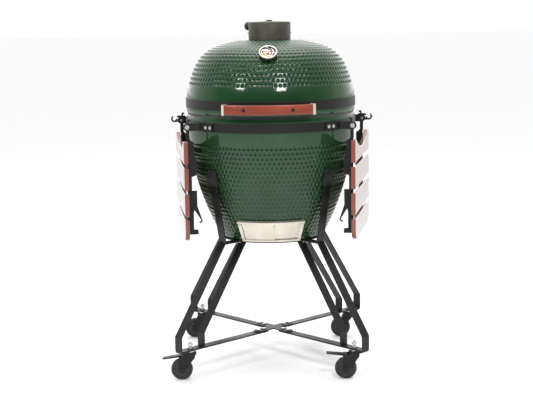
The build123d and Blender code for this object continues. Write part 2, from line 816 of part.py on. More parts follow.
def brackets():
    """Ears on the pot band, one beside each arm, and the flange that each ear grows from."""
    z0 = pivot_z - ear_h / 2
    pieces = []
    for sign in (-1, 1):
        v_face = sign * (arm_v - arm_t / 2 - GAP)
        v_mid = v_face - sign * ear_t / 2
        root = math.sqrt(band_out ** 2 - v_mid ** 2)
        flat = make_face(Polyline((root - 6, z0), (pivot_u, z0), (pivot_u, z0 + ear_h),
                                  (root - 6, z0 + ear_h),
                                  close=True))
        flat += Pos(pivot_u, pivot_z) * Circle(ear_h / 2)
        flat -= Pos(pivot_u, pivot_z) * Circle(pin_r)
        ear = Pos(0, v_mid, 0) * extrude(Plane.XZ * flat, ear_t / 2, both=True)
        azimuth = math.degrees(math.atan2(v_mid, root))
        edge = 1.2
        start = 90 + azimuth + (-flange_deg if sign < 0 else -edge)
        pad = turned(outline((band_out, z0), (band_out + 4, z0), (band_out + 4, z0 + ear_h),
                             (band_out, z0 + ear_h)), start, flange_deg + edge)
        pieces.append((ear + pad) - Pos(0, 0, pivot_z) * Cylinder(band_out, 80))
    return pieces


def pivot_pins():
    pieces = []
    for sign in (-1, 1):
        y0 = sign * (arm_v + arm_t / 2 + GAP)
        y1 = sign * (arm_v - arm_t / 2 - GAP - ear_t)
        pin = rod((pivot_u, y0, pivot_z), (pivot_u, y1, pivot_z), pin_r)
        pin += rod((pivot_u, y0, pivot_z), (pivot_u, y0 + sign * 3, pivot_z), pin_r + 3)
        pieces.append(pin)
    return pieces


def bracket_bolts():
    pieces = []
    for sign in (-1, 1):
        v_mid = sign * (arm_v - arm_t / 2 - GAP - ear_t / 2)
        azimuth = math.degrees(math.atan2(v_mid, math.sqrt(band_out ** 2 - v_mid ** 2)))
        for share in (0.55, 0.86):
            angle = azimuth + sign * flange_deg * share
            r = band_out + 4
            cap = rod((r, 0, pivot_z), (r + bolt_head_h, 0, pivot_z), bolt_head_r - 1)
            pieces.append(Rot(0, 0, angle) * cap)
    return pieces


# ---- cart ---------------------------------------------------------------------
def strip(points, bend):
    """Flat steel bar bent along a path in the XZ plane."""
    path = FilletPolyline(*[(r, 0, z) for r, z in points], radius=bend)
    section = Plane(origin=path @ 0, z_dir=path % 0, x_dir=(0, 1, 0)) * Rectangle(strip_w, strip_t)
    return sweep(section, path=path)


def outer_leg():
    foot_z = brace_low_z - strip_t / 2
    return strip([upright_top, knee, (foot_r_out, foot_bend_z), (foot_r_out, foot_z),
                  (foot_r_out - 33, foot_z)], 9.0)


def link_z():
    return pot_base_z - ring_t - strip_t


def inner_leg():
    slope = (knee[0] - foot_r_out) / (knee[1] - foot_bend_z)
    top = link_z()
    r_top = foot_r_in + slope * (top + 20 - foot_bend_z)
    leg = strip([(r_top, top + 20), (foot_r_in, foot_bend_z), (foot_r_in, brace_top_z)], 9.0)
    return leg - Pos(r_top, 0, top + 100) * Box(200, 100, 200)


def leg_link():
    """Bar under the support ring that ties an inner leg to its outer leg's bend."""
    top = link_z() + strip_t
    length = knee[0] + 4 - link_r_in
    bar = Pos(link_r_in + length / 2, 0, top - strip_t / 2) * Box(length, strip_w, strip_t)
    return bar - outer_leg()


def support_ring():
    return ring(ring_r_in, ring_r_out, pot_base_z - ring_t, pot_base_z)


def link_bolt(r):
    low = link_z()
    return Pos(r, 0, low - bolt_head_h / 2) * Cylinder(bolt_head_r, bolt_head_h)


def brace_bar():
    length = foot_r_out - strip_t / 2 - brace_r_in
    bar = Pos(brace_r_in + length / 2, 0, brace_top_z - strip_t / 2) * Box(length, strip_w, strip_t)
    bar -= outer_leg()
    return bar - Pos(stem_r_pos, 0, brace_top_z) * Cylinder(stem_r, 40)


def brace_plate():
    arm_flat = SlotCenterToCenter(2 * (plate_arm - strip_w / 2 - 2), strip_w + 4)
    flat = arm_flat + Rot(0, 0, 90) * arm_flat
    return Rot(0, 0, 45) * (Pos(0, 0, brace_top_z) * extrude(flat, plate_t))


def brace_bolt(r):
    top = Pos(r, 0, brace_top_z + plate_t + bolt_head_h / 2) * Cylinder(bolt_head_r, bolt_head_h)
    nut = Pos(r, 0, brace_low_z - 5) * extrude(RegularPolygon(bolt_head_r, 6), 5)
    return [top, nut]


def upright_cap():
    """Moulded cap over the upper end of an upright."""
    lean = math.atan2(upright_top[0] - knee[0], upright_top[1] - knee[1])
    plane = Plane(origin=(upright_top[0], 0, upright_top[1]), x_dir=(math.cos(lean), 0, -math.sin(lean)),
                  z_dir=(math.sin(lean), 0, math.cos(lean)))
    block = Pos(0, 0, -cap_h / 2 + 5) * Box(cap_t, cap_w, cap_h)
    block = fillet(block.edges().filter_by(Axis.X).sort_by(Axis.Z)[-2:], 10)
    return (plane * block) - outer_leg()


# ---- casters ------------------------------------------------------------------
def caster_stem():
    """Threaded stem, its race under the bar and two nuts above it."""
    low = brace_low_z - race_h - head_h - GAP
    stem = rod((0, 0, low - 4), (0, 0, brace_top_z + stem_rise), stem_r)
    foot = rod((0, 0, low - 4), (0, 0, low - GAP), foot_r)
    race = rod((0, 0, brace_low_z - race_h), (0, 0, brace_low_z), race_r)
    hexagon = extrude(RegularPolygon(nut_r, 6), nut_h)
    nut = Pos(0, 0, brace_top_z) * hexagon
    lock = Pos(0, 0, brace_top_z + nut_h + nut_gap) * hexagon
    return stem + foot + race + nut + lock


def caster_fork(braked):
    top = brace_low_z - race_h - GAP
    low = top - head_h
    half = wheel_w / 2 + fork_gap
    fork = Pos(0, 0, top - head_h / 2) * Cylinder(head_r, head_h)
    reach = trail + 8 if braked else trail * 0.6
    flat = make_hull((Sketch() + Pos(-trail, wheel_r) * Circle(fork_boss_r)
                      + Pos((head_r - 4 - reach) / 2, low - 4) * Rectangle(reach + head_r - 4, 8)).edges())
    for side in (-1, 1):
        y = side * (half + fork_t / 2)
        fork += Pos(0, y, 0) * extrude(Plane.XZ * flat, fork_t / 2, both=True)
    web = Pos(0, 0, low - 1.5) * Box(2 * (head_r - 4), 2 * half + 2, 3)
    fork += web
    fork -= rod((0, 0, low - 30), (0, 0, top + 1), stem_r + RUN)
    fork -= rod((0, 0, low - 30), (0, 0, low), foot_r + GAP)
    pins = [rod((-trail, -half - fork_t - 1, wheel_r), (-trail, half + fork_t + 1, wheel_r), axle_r)]
    for side in (-1, 1):
        y = side * (half + fork_t)
        pins[0] += rod((-trail, y, wheel_r), (-trail, y + side * 4, wheel_r), axle_r + 3)
    if braked:
        x, z = pedal_pivot()
        pins.append(rod((x, -half - fork_t, z), (x, half + fork_t, z), pedal_pin_r))
    for pin in pins:
        fork -= pin
    return [fork] + pins


def pedal_pivot():
    return -trail - 2, brace_low_z - race_h - GAP - head_h - 5


def caster_wheel():
    half = wheel_w / 2
    dish = 2.5
    profile = outline((axle_r + RUN, -half), (wheel_r * 0.42, -half), (wheel_r * 0.5, -half + dish),
                      (wheel_r * 0.72, -half + dish), (wheel_r * 0.78, -half), (wheel_r - 3, -half),
                      (wheel_r, -half + 4), (wheel_r, half - 4), (wheel_r - 3, half), (wheel_r * 0.78, half),
                      (wheel_r * 0.72, half - dish), (wheel_r * 0.5, half - dish), (wheel_r * 0.42, half),
                      (axle_r + RUN, half))
    tread = revolve(profile, Axis.Z, 360)
    return Pos(-trail, 0, wheel_r) * Rot(90, 0, 0) * tread


def caster_pedal(pressed):
    """Brake pedal on its pin between the fork plates, drawn up or pressed down."""
    x, z = pedal_pivot()
    boss = rod((x, -pedal_w / 2, z), (x, pedal_w / 2, z), pedal_pin_r + 3)
    side = make_face(Polyline((x, z + 1), (x - 8, z + 5), (x - pedal_len, z + 9),
                              (x - pedal_len, z + 9 - pedal_t),
                              (x - 10, z - 1), (x, z - 5), close=True))
    plate = extrude(Plane.XZ * side, pedal_w / 2, both=True)
    pedal = (boss + plate) - rod((x, -pedal_w, z), (x, pedal_w, z), pedal_pin_r + RUN)
    return pedal.rotate(Axis((x, 0, z), (0, 1, 0)), -pedal_press) if pressed else pedal


def at_caster(shape, name):
    angle = math.radians(corner_deg[name])
    return Pos(stem_r_pos * math.cos(angle), stem_r_pos * math.sin(angle), 0) * shape


# ---- build --------------------------------------------------------------------
def build():
    felt_low, felt_high = gaskets()
    write("pot_shell", pot_shell())
    write("dome_shell", dome_shell())
    write("pot_gasket", felt_low)
    write("dome_gasket", felt_high)
    write("firebox", firebox())
    write("fire_ring", fire_ring())
    write("charcoal_grate", charcoal_grate())
    write("cooking_grate", cooking_grate())
    write("dome_band", lid_band())
    write("pot_band", pot_band())
    write("handle_bar", handle_bar())
    write("handle_brackets", group(handle_brackets() + handle_posts()))
    write("handle_screws", group(handle_screws()))
    write("hinge_upper", hinge_upper())
    write("hinge_lower", hinge_lower())
    write("hinge_pin", hinge_pin())
    write("hinge_springs", group(hinge_springs()))
    write("vent_tower", vent_tower())
    write("vent_disc", vent_disc())
    write("vent_knob", vent_knob())
    write("vent_pivot_screw", vent_pivot_screw())
    write("vent_clamp_screws", group(vent_clamp_screws()))
    write("gauge_housing", gauge_housing())
    write("gauge_dial", gauge_dial())
    write("gauge_lens", gauge_lens())
    write("gauge_pointer", gauge_pointer())
    write("gauge_probe", gauge_probe())
    write("draft_frame", draft_frame())
    write("draft_door", draft_door())
    write("draft_screen", draft_screen())
    write("draft_screws", group(draft_screws()))
    for side in ("left", "right"):
        write(f"shelf_slats_{side}", group([place_shelf(s, side) for s in slats()]))
        write(f"shelf_arms_{side}", group([place_shelf(arm(f), side) for f in (True, False)]))
        write(f"shelf_screws_{side}", group([place_shelf(s, side) for s in slat_screws()]))
        write(f"shelf_brackets_{side}", group([place_shelf(s, side) for s in brackets()]))
    sides = ("left", "right")
    write("shelf_pivot_pins", group([place_shelf(s, side) for side in sides for s in pivot_pins()]))
    write("bracket_bolts", group([place_shelf(s, side) for side in sides for s in bracket_bolts()]))
    names = list(corner_deg)
    write("outer_legs", group([at_corner(outer_leg(), n) for n in names]))
    write("inner_legs", group([at_corner(inner_leg(), n) for n in names]))
    write("leg_links", group([at_corner(leg_link(), n) for n in names]))
    write("support_ring", support_ring())
    write("brace_bars", group([at_corner(brace_bar(), n) for n in names]))
    write("brace_plate", brace_plate())
    write("upright_caps", group([at_corner(upright_cap(), n) for n in names]))
    bolts = [at_corner(link_bolt(r), n) for n in names for r in link_bolts]
    bolts += [at_corner(b, n) for n in names for r in plate_bolts for b in brace_bolt(r)]
    write("cart_bolts", group(bolts))
    write("caster_stems", group([at_caster(caster_stem(), n) for n in names]))
    for n in names:
        braked = n.startswith("front")
        write(f"caster_fork_{n}", group([at_caster(s, n) for s in caster_fork(braked)]))
        write(f"caster_wheel_{n}", at_caster(caster_wheel(), n))
        if braked:
            write(f"brake_pedal_{n}", at_caster(caster_pedal(n == "front_left"), n))


build()
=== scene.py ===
"""Looks of a ceramic kamado grill on its rolling cart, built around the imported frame."""

import math

import bmesh
import bpy
from bpy.props import FloatProperty, FloatVectorProperty, IntProperty, PointerProperty
from mathutils import Matrix, Vector


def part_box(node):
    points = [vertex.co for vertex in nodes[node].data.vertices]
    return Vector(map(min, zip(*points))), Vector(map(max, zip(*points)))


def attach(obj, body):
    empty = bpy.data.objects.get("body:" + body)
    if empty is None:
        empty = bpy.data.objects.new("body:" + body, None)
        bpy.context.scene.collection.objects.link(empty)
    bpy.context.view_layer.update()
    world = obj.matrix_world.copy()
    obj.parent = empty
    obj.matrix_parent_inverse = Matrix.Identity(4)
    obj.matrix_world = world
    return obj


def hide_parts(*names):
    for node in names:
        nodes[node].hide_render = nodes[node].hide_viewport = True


bl_info = {
    "name": "Kamado Grill Looks",
    "version": (1, 0, 0),
    "blender": (4, 5, 0),
    "location": "View3D > Sidebar > Kamado",
    "description": "Dimpled ceramic, wood, metal and studio for a kamado grill",
    "category": "Object",
}

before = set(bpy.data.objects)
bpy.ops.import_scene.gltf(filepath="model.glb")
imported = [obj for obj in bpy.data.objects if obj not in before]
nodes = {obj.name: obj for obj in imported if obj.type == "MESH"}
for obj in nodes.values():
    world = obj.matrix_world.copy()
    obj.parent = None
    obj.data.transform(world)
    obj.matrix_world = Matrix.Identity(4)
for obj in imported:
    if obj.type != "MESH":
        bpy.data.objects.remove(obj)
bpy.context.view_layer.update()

GRILL_TAB = "Kamado"
CORNERS = ("front_left", "front_right", "rear_left", "rear_right")
PLAIN_STEPS = 128        # steps of a lathe-turned surface without dimples
SEAM = 0.0008            # gap bridged between a plain run and the rows of dimples
LAND_SHARE = 0.16        # share of half a row that stays plain beside the next row
HANDLE_ARC_R = 0.34      # radius that the handle's grain is measured on


# ---- sizes and colours a user may change ---------------------------------------------
COLOUR = {"subtype": "COLOR", "size": 3, "min": 0, "max": 1}


class KamadoGlaze(bpy.types.PropertyGroup):
    """Glaze colour and the dimples pressed into the ceramic."""

    colour: FloatVectorProperty(
        name="Glaze", description="Colour of the glaze where it lies thick", **COLOUR,
        default=(0.004, 0.019, 0.006))
    thin_colour: FloatVectorProperty(
        name="Thin glaze", description="Colour of the glaze on the ridges between dimples",
        **COLOUR,
        default=(0.014, 0.050, 0.019))
    row_pitch: FloatProperty(
        name="Row pitch", description="Distance between rows of dimples, along the side",
        unit="LENGTH", min=0.008, max=0.04, default=0.0168)
    round_pitch: FloatProperty(
        name="Pitch in a row", description="Distance between dimples round the body",
        unit="LENGTH", min=0.008, max=0.04, default=0.0160)
    bowl_radius: FloatProperty(
        name="Dimple radius", description="Radius where a dimple meets the plain surface",
        unit="LENGTH", min=0.003, max=0.012, default=0.0078)
    bowl_depth: FloatProperty(
        name="Dimple depth", description="Depth of a dimple at its middle",
        unit="LENGTH", min=0.0, max=0.004, default=0.0026)
    pot_top: FloatProperty(
        name="Top of the pot's dimples", description="Height where the pot's smooth belt starts",
        unit="LENGTH", min=0.6, max=0.85, default=0.806)
    pot_low: FloatProperty(
        name="Foot of the pot's dimples", description="Height of the lowest dimples",
        unit="LENGTH", min=0.465, max=0.6, default=0.474)
    dome_low: FloatProperty(
        name="Foot of the dome's dimples", description="Height where the dome's smooth belt ends",
        unit="LENGTH", min=0.96, max=1.1, default=1.002)
    dome_top_radius: FloatProperty(
        name="Plain crown", description="Radius of the plain crown round the vent",
        unit="LENGTH", min=0.075, max=0.2, default=0.083)


class KamadoWood(bpy.types.PropertyGroup):
    """Wood of the handle and of the shelves."""

    handle_colour: FloatVectorProperty(
        name="Handle", description="Colour of the oiled handle", **COLOUR,
        default=(0.24, 0.028, 0.004))
    slat_colour: FloatVectorProperty(
        name="Slats", description="Colour of the lacquered slats", **COLOUR,
        default=(0.20, 0.032, 0.013))


class KamadoMetal(bpy.types.PropertyGroup):
    """Coated, cast and bare metals."""

    coat_colour: FloatVectorProperty(
        name="Powder coat", description="Colour of the coated steel", **COLOUR,
        default=(0.006, 0.006, 0.0055))
    cast_colour: FloatVectorProperty(
        name="Cast vent", description="Colour of the cast vent", **COLOUR,
        default=(0.060, 0.052, 0.043))
    steel_colour: FloatVectorProperty(
        name="Stainless steel", description="Colour of the bare sheet steel", **COLOUR,
        default=(0.80, 0.75, 0.66))
    spring_wire: FloatProperty(
        name="Spring wire", description="Thickness of the hinge springs' wire",
        unit="LENGTH", min=0.001, max=0.004, default=0.0032)
    spring_turns: IntProperty(
        name="Spring turns", description="Turns in each hinge spring", min=3, max=20, default=12)


class KamadoGauge(bpy.types.PropertyGroup):
    """Dial thermometer on the dome."""

    card_colour: FloatVectorProperty(
        name="Card", description="Colour of the dial card", **COLOUR,
        default=(0.30, 0.28, 0.26))
    ticks: IntProperty(
        name="Ticks", description="Marks round the scale", min=6, max=60, default=32)


class KamadoStudio(bpy.types.PropertyGroup):
    """Camera and lights."""

    distance: FloatProperty(
        name="Camera distance", description="From the body's axis to the camera",
        unit="LENGTH", min=1.0, max=10.0, default=4.460)
    height: FloatProperty(
        name="Camera height", description="Above the floor", unit="LENGTH",
        min=0.1, max=4.0, default=1.2608)
    orbit: FloatProperty(
        name="Orbit", description="How far the camera stands to the right of the front",
        subtype="ANGLE", min=-3.2, max=3.2, default=math.radians(1.328))
    pan: FloatProperty(
        name="Pan", description="Aim to the left of the body's axis", subtype="ANGLE",
        min=-0.5, max=0.5, default=math.radians(0.253))
    pitch: FloatProperty(
        name="Pitch", description="Aim below the horizontal", subtype="ANGLE",
        min=-1.5, max=1.5, default=math.radians(8.663))
    roll: FloatProperty(
        name="Roll", description="Turn of the camera about its own axis", subtype="ANGLE",
        min=-0.5, max=0.5, default=math.radians(0.868))
    lens: FloatProperty(
        name="Lens", description="Focal length in millimetres on a 36 mm sensor",
        min=20.0, max=200.0, default=84.36)
    room_light: FloatProperty(
        name="Room light", description="Strength of the even white surround",
        min=0.0, max=5.0, default=1.0)
    wall_light: FloatProperty(
        name="Wall light", description="Extra light from the wall behind the grill",
        min=0.0, max=10.0, default=1.0)
    backdrop: FloatProperty(
        name="Backdrop", description="Brightness of the backdrop as the camera sees it",
        min=0.0, max=2.0, default=1.0)
    front_light: FloatProperty(
        name="Front light", description="Share of the room light on the camera's side",
        min=0.0, max=1.0, default=0.05)


SETTINGS = {
    "kamado_glaze": KamadoGlaze,
    "kamado_wood": KamadoWood,
    "kamado_metal": KamadoMetal,
    "kamado_gauge": KamadoGauge,
    "kamado_studio": KamadoStudio,
}


# ---- shader nodes ----------------------------------------------------------------------
def add(tree, kind, inputs=None, **settings):
    """A shader node with its settings, and its inputs as numbers or as other nodes' sockets."""
    made = tree.nodes.new(kind)
    for name, value in settings.items():
        setattr(made, name, value)
    for name, value in (inputs or {}).items():
        if isinstance(value, bpy.types.NodeSocket):
            tree.links.new(value, made.inputs[name])
        else:
            made.inputs[name].default_value = value
    return made


def start_finish(name, **sockets):
    """An empty material with a Principled shader, whose even values are set on its own sockets."""
    material = bpy.data.materials.new(name)
    material.use_nodes = True
    tree = material.node_tree
    tree.nodes.clear()
    shader = add(tree, "ShaderNodeBsdfPrincipled", {k.replace("_", " "): v for k, v in sockets.items()})
    out = tree.nodes.new("ShaderNodeOutputMaterial")
    tree.links.new(shader.outputs["BSDF"], out.inputs["Surface"])
    return material, tree, shader


def place(tree, scale=(1, 1, 1), turn=(0, 0, 0)):
    """Object coordinates, scaled and turned for a pattern."""
    where = add(tree, "ShaderNodeTexCoord")
    mapped = add(tree, "ShaderNodeMapping", {
        "Vector": where.outputs["Object"], "Scale": scale, "Rotation": turn})
    return mapped.outputs["Vector"]


def noise(tree, where, scale, detail=4.0, rough=0.55):
    """Noise from 0 to 1 at a place."""
    made = add(tree, "ShaderNodeTexNoise", {
        "Vector": where, "Scale": scale, "Detail": detail, "Roughness": rough})
    return made.outputs["Fac"]


def spread(tree, value, low, high, new_low, new_high):
    """A value's range, stretched to another and clamped."""
    made = add(tree, "ShaderNodeMapRange", {
        "Value": value, "From Min": low, "From Max": high, "To Min": new_low, "To Max": new_high})
    return made.outputs["Result"]


def mixed(tree, share, first, second):
    """Two colours mixed by a share."""
    return add(tree, "ShaderNodeMix", {0: share, 6: first, 7: second}, data_type="RGBA").outputs[2]


def maths(tree, operation, first, second=0.0, third=0.0, clamp=False):
    """The result of a maths node."""
    made = add(tree, "ShaderNodeMath", {0: first, 1: second, 2: third},
               operation=operation, use_clamp=clamp)
    return made.outputs[0]


def bumped(tree, height, strength, distance, under=None):
    """A normal raised by a height, on top of another normal."""
    made = add(tree, "ShaderNodeBump", {"Height": height, "Strength": strength, "Distance": distance})
    if under is not None:
        tree.links.new(under, made.inputs["Normal"])
    return made.outputs["Normal"]


def eased(tree, radius):
    """The normal of edges eased by a small radius."""
    return add(tree, "ShaderNodeBevel", {"Radius": radius}, samples=4).outputs["Normal"]


def edge_share(tree, eased_normal, gain):
    """1 on outer edges and corners, 0 on flats."""
    own = add(tree, "ShaderNodeNewGeometry").outputs["Normal"]
    dot = add(tree, "ShaderNodeVectorMath", {0: own, 1: eased_normal}, operation="DOT_PRODUCT")
    gap = maths(tree, "SUBTRACT", 1.0, dot.outputs["Value"])
    return maths(tree, "MULTIPLY", gap, gain, clamp=True)


def feed(shader, name, value):
    """Link a value to one of the shader's inputs."""
    shader.id_data.links.new(value, shader.inputs[name])


def rgba(colour, share=1.0):
    """A colour scaled by a share, with full alpha."""
    return (colour[0] * share, colour[1] * share, colour[2] * share, 1.0)


# ---- finishes --------------------------------------------------------------------------
def green_glaze():
    """Deep green gloss glaze, paler where it runs thin over the ridges."""
    glaze = bpy.context.scene.kamado_glaze
    material, tree, shader = start_finish("green_glaze", Roughness=0.09, IOR=1.45)
    where = place(tree)
    bowl = add(tree, "ShaderNodeAttribute", attribute_name="bowl").outputs["Fac"]
    cloudy = noise(tree, where, 14.0, 5.0)
    thick = maths(tree, "MULTIPLY_ADD", bowl, 0.8, 0.1)
    thick = maths(tree, "ADD", thick, spread(tree, cloudy, 0.3, 0.7, -0.15, 0.25), clamp=True)
    feed(shader, "Base Color", mixed(tree, thick, rgba(glaze.thin_colour), rgba(glaze.colour)))
    skin = bumped(tree, noise(tree, where, 260.0, 2.0), 0.10, 0.0006)
    skin = bumped(tree, noise(tree, where, 38.0, 3.0), 0.25, 0.0010, skin)
    feed(shader, "Normal", skin)
    return material


def coated_steel():
    """Fine-grained black powder coat, rubbed at the edges."""
    metal = bpy.context.scene.kamado_metal
    material, tree, shader = start_finish("black_steel", IOR=1.38)
    where = place(tree)
    soft = eased(tree, 0.0012)
    worn = edge_share(tree, soft, 6.0)
    dust = spread(tree, noise(tree, where, 22.0, 5.0), 0.35, 0.75, 0.0, 0.6)
    base = mixed(tree, dust, rgba(metal.coat_colour), rgba(metal.coat_colour, 1.7))
    rubbed = maths(tree, "MULTIPLY", worn, 0.5)
    feed(shader, "Base Color", mixed(tree, rubbed, base, (0.09, 0.088, 0.08, 1)))
    feed(shader, "Roughness", spread(tree, dust, 0.0, 0.6, 0.40, 0.55))
    feed(shader, "Normal", bumped(tree, noise(tree, where, 900.0, 2.0), 0.22, 0.0003, soft))
    return material


def cast_vent():
    """Painted cast iron of the vent."""
    metal = bpy.context.scene.kamado_metal
    material, tree, shader = start_finish("cast_vent", Metallic=0.15, IOR=1.5)
    where = place(tree)
    soft = eased(tree, 0.0015)
    worn = edge_share(tree, soft, 5.0)
    patch = spread(tree, noise(tree, where, 30.0, 6.0), 0.3, 0.7, 0.0, 1.0)
    base = mixed(tree, patch, rgba(metal.cast_colour, 0.8), rgba(metal.cast_colour, 1.35))
    rubbed = maths(tree, "MULTIPLY", worn, 0.6)
    feed(shader, "Base Color", mixed(tree, rubbed, base, (0.22, 0.20, 0.17, 1)))
    feed(shader, "Roughness", spread(tree, patch, 0.0, 1.0, 0.42, 0.60))
    grain = bumped(tree, noise(tree, where, 420.0, 4.0), 0.5, 0.0005, soft)
    feed(shader, "Normal", grain)
    return material


def stainless():
    """Brushed sheet steel with faint smudges."""
    metal = bpy.context.scene.kamado_metal
    material, tree, shader = start_finish("stainless", Metallic=0.9)
    soft = eased(tree, 0.0008)
    lines = noise(tree, place(tree, (6, 6, 900)), 1.0, 3.0)
    smudge = noise(tree, place(tree), 18.0, 4.0)
    share = spread(tree, smudge, 0.3, 0.7, 0.0, 1.0)
    clean, dull = rgba(metal.steel_colour), rgba(metal.steel_colour, 0.84)
    feed(shader, "Base Color", mixed(tree, share, clean, dull))
    brushed = spread(tree, lines, 0.3, 0.7, 0.34, 0.46)
    greasy = spread(tree, smudge, 0.4, 0.8, 0.0, 0.12)
    feed(shader, "Roughness", maths(tree, "ADD", brushed, greasy))
    feed(shader, "Normal", bumped(tree, lines, 0.08, 0.0003, soft))
    return material


def bright_zinc():
    """Bright plated steel of bolts, nuts and pins."""
    material, tree, shader = start_finish("zinc", Metallic=1.0)
    soft = eased(tree, 0.0006)
    spots = noise(tree, place(tree), 160.0, 4.0)
    share = spread(tree, spots, 0.35, 0.7, 0.0, 1.0)
    feed(shader, "Base Color", mixed(tree, share, (0.62, 0.61, 0.58, 1), (0.44, 0.43, 0.40, 1)))
    feed(shader, "Roughness", spread(tree, spots, 0.3, 0.7, 0.16, 0.34))
    feed(shader, "Normal", bumped(tree, spots, 0.12, 0.0003, soft))
    return material


def wood(name, colour, where_from, lacquer):
    """Straight-grained hardwood under oil or lacquer, its grain along the pattern's X."""
    material, tree, shader = start_finish(
        name, IOR=1.48, Coat_Weight=lacquer, Coat_Roughness=0.06)
    along = where_from(tree)
    warp = noise(tree, add(tree, "ShaderNodeMapping", {
        "Vector": along, "Scale": (3, 14, 14)}).outputs["Vector"], 1.0, 3.0)
    fibre_at = add(tree, "ShaderNodeMapping", {"Vector": along, "Scale": (9, 260, 260)})
    shift = add(tree, "ShaderNodeVectorMath", {0: warp, "Scale": 9.0}, operation="SCALE")
    bent = add(tree, "ShaderNodeVectorMath", {0: fibre_at.outputs["Vector"],
                                              1: shift.outputs[0]}, operation="ADD")
    fibre = noise(tree, bent.outputs[0], 1.0, 5.0, 0.6)
    rings = add(tree, "ShaderNodeTexWave", {
        "Vector": bent.outputs[0], "Scale": 0.10, "Distortion": 3.5, "Detail": 3.0,
        "Detail Scale": 1.4}, bands_direction="Y").outputs["Fac"]
    base = mixed(tree, spread(tree, fibre, 0.3, 0.7, 0.0, 1.0), rgba(colour, 1.25), rgba(colour, 0.62))
    base = mixed(tree, spread(tree, rings, 0.2, 0.9, 0.0, 0.38), base, rgba(colour, 0.42))
    feed(shader, "Base Color", base)
    feed(shader, "Roughness", spread(tree, fibre, 0.3, 0.7, 0.30, 0.46))
    feed(shader, "Normal", bumped(tree, fibre, 0.16, 0.0004, eased(tree, 0.0012)))
    return material


def along_the_arc(tree):
    """Pattern place that follows the curved handle: arc length, radius and height."""
    where = add(tree, "ShaderNodeTexCoord").outputs["Object"]
    parts = add(tree, "ShaderNodeSeparateXYZ", {0: where})
    front = maths(tree, "MULTIPLY", parts.outputs["Y"], -1.0)
    angle = maths(tree, "ARCTAN2", parts.outputs["X"], front)
    flat = add(tree, "ShaderNodeCombineXYZ", {"X": parts.outputs["X"], "Y": parts.outputs["Y"]})
    radius = add(tree, "ShaderNodeVectorMath", {0: flat.outputs[0]}, operation="LENGTH")
    arc = maths(tree, "MULTIPLY", angle, HANDLE_ARC_R)
    return add(tree, "ShaderNodeCombineXYZ", {
        "X": arc, "Y": radius.outputs["Value"], "Z": parts.outputs["Z"]}).outputs[0]


def handle_wood():
    """Oiled wood of the curved handle."""
    return wood("handle_wood", bpy.context.scene.kamado_wood.handle_colour, along_the_arc, 0.35)


def slat_wood():
    """Lacquered wood of the shelves."""
    return wood("slat_wood", bpy.context.scene.kamado_wood.slat_colour,
                lambda tree: place(tree, turn=(0, 0, math.radians(90))), 1.0)


def felt():
    """Pressed dark felt of the gaskets."""
    material, tree, shader = start_finish("felt", Roughness=0.95, Sheen_Weight=0.4)
    fluff = noise(tree, place(tree), 420.0, 6.0, 0.7)
    feed(shader, "Base Color", mixed(tree, fluff, (0.012, 0.012, 0.011, 1), (0.06, 0.058, 0.054, 1)))
    feed(shader, "Normal", bumped(tree, fluff, 0.8, 0.0010))
    return material


def fire_clay():
    """Sandy unglazed refractory clay, sooted in patches."""
    material, tree, shader = start_finish("fire_clay", Roughness=0.88)
    where = place(tree)
    sand = noise(tree, where, 330.0, 5.0, 0.7)
    soot = spread(tree, noise(tree, where, 9.0, 5.0), 0.5, 0.72, 0.0, 0.55)
    base = mixed(tree, sand, (0.36, 0.28, 0.20, 1), (0.60, 0.50, 0.39, 1))
    feed(shader, "Base Color", mixed(tree, soot, base, (0.07, 0.06, 0.05, 1)))
    feed(shader, "Normal", bumped(tree, sand, 0.6, 0.0008))
    return material


def cast_iron():
    """Bare cast iron of the charcoal grate."""
    material, tree, shader = start_finish("iron", Metallic=0.5)
    where = place(tree)
    grain = noise(tree, where, 300.0, 5.0, 0.65)
    rust = spread(tree, noise(tree, where, 20.0, 5.0), 0.55, 0.75, 0.0, 0.5)
    base = mixed(tree, grain, (0.035, 0.034, 0.033, 1), (0.09, 0.086, 0.08, 1))
    feed(shader, "Base Color", mixed(tree, rust, base, (0.14, 0.06, 0.03, 1)))
    feed(shader, "Roughness", spread(tree, grain, 0.3, 0.7, 0.55, 0.8))
    feed(shader, "Normal", bumped(tree, grain, 0.7, 0.0006, eased(tree, 0.0012)))
    return material


def moulded(name, colour, grain_scale, low_rough, high_rough):
    """Moulded rubber or plastic with a fine spark-eroded grain."""
    material, tree, shader = start_finish(name, IOR=1.49)
    where = place(tree)
    grain = noise(tree, where, grain_scale, 2.0)
    dust = spread(tree, noise(tree, where, 34.0, 5.0), 0.4, 0.75, 0.0, 0.5)
    feed(shader, "Base Color", mixed(tree, dust, rgba(colour), rgba(colour, 2.2)))
    feed(shader, "Roughness", spread(tree, dust, 0.0, 0.5, low_rough, high_rough))
    feed(shader, "Normal", bumped(tree, grain, 0.25, 0.0004, eased(tree, 0.0010)))
    return material


def wheel_rubber():
    return moulded("wheel_rubber", (0.020, 0.020, 0.019), 500.0, 0.48, 0.70)


def black_plastic():
    return moulded("black_plastic", (0.016, 0.016, 0.016), 800.0, 0.28, 0.45)


def pointer_red():
    return moulded("pointer_red", (0.55, 0.02, 0.015), 900.0, 0.30, 0.40)


def clear_glass():
    """Thin clear lens of the gauge."""
    material, tree, shader = start_finish(
        "clear_glass", Roughness=0.03, IOR=1.5, Transmission_Weight=1.0, Alpha=0.16,
        Base_Color=(1, 1, 1, 1))
    smear = noise(tree, place(tree), 90.0, 3.0)
    feed(shader, "Normal", bumped(tree, smear, 0.02, 0.0002))
    return material


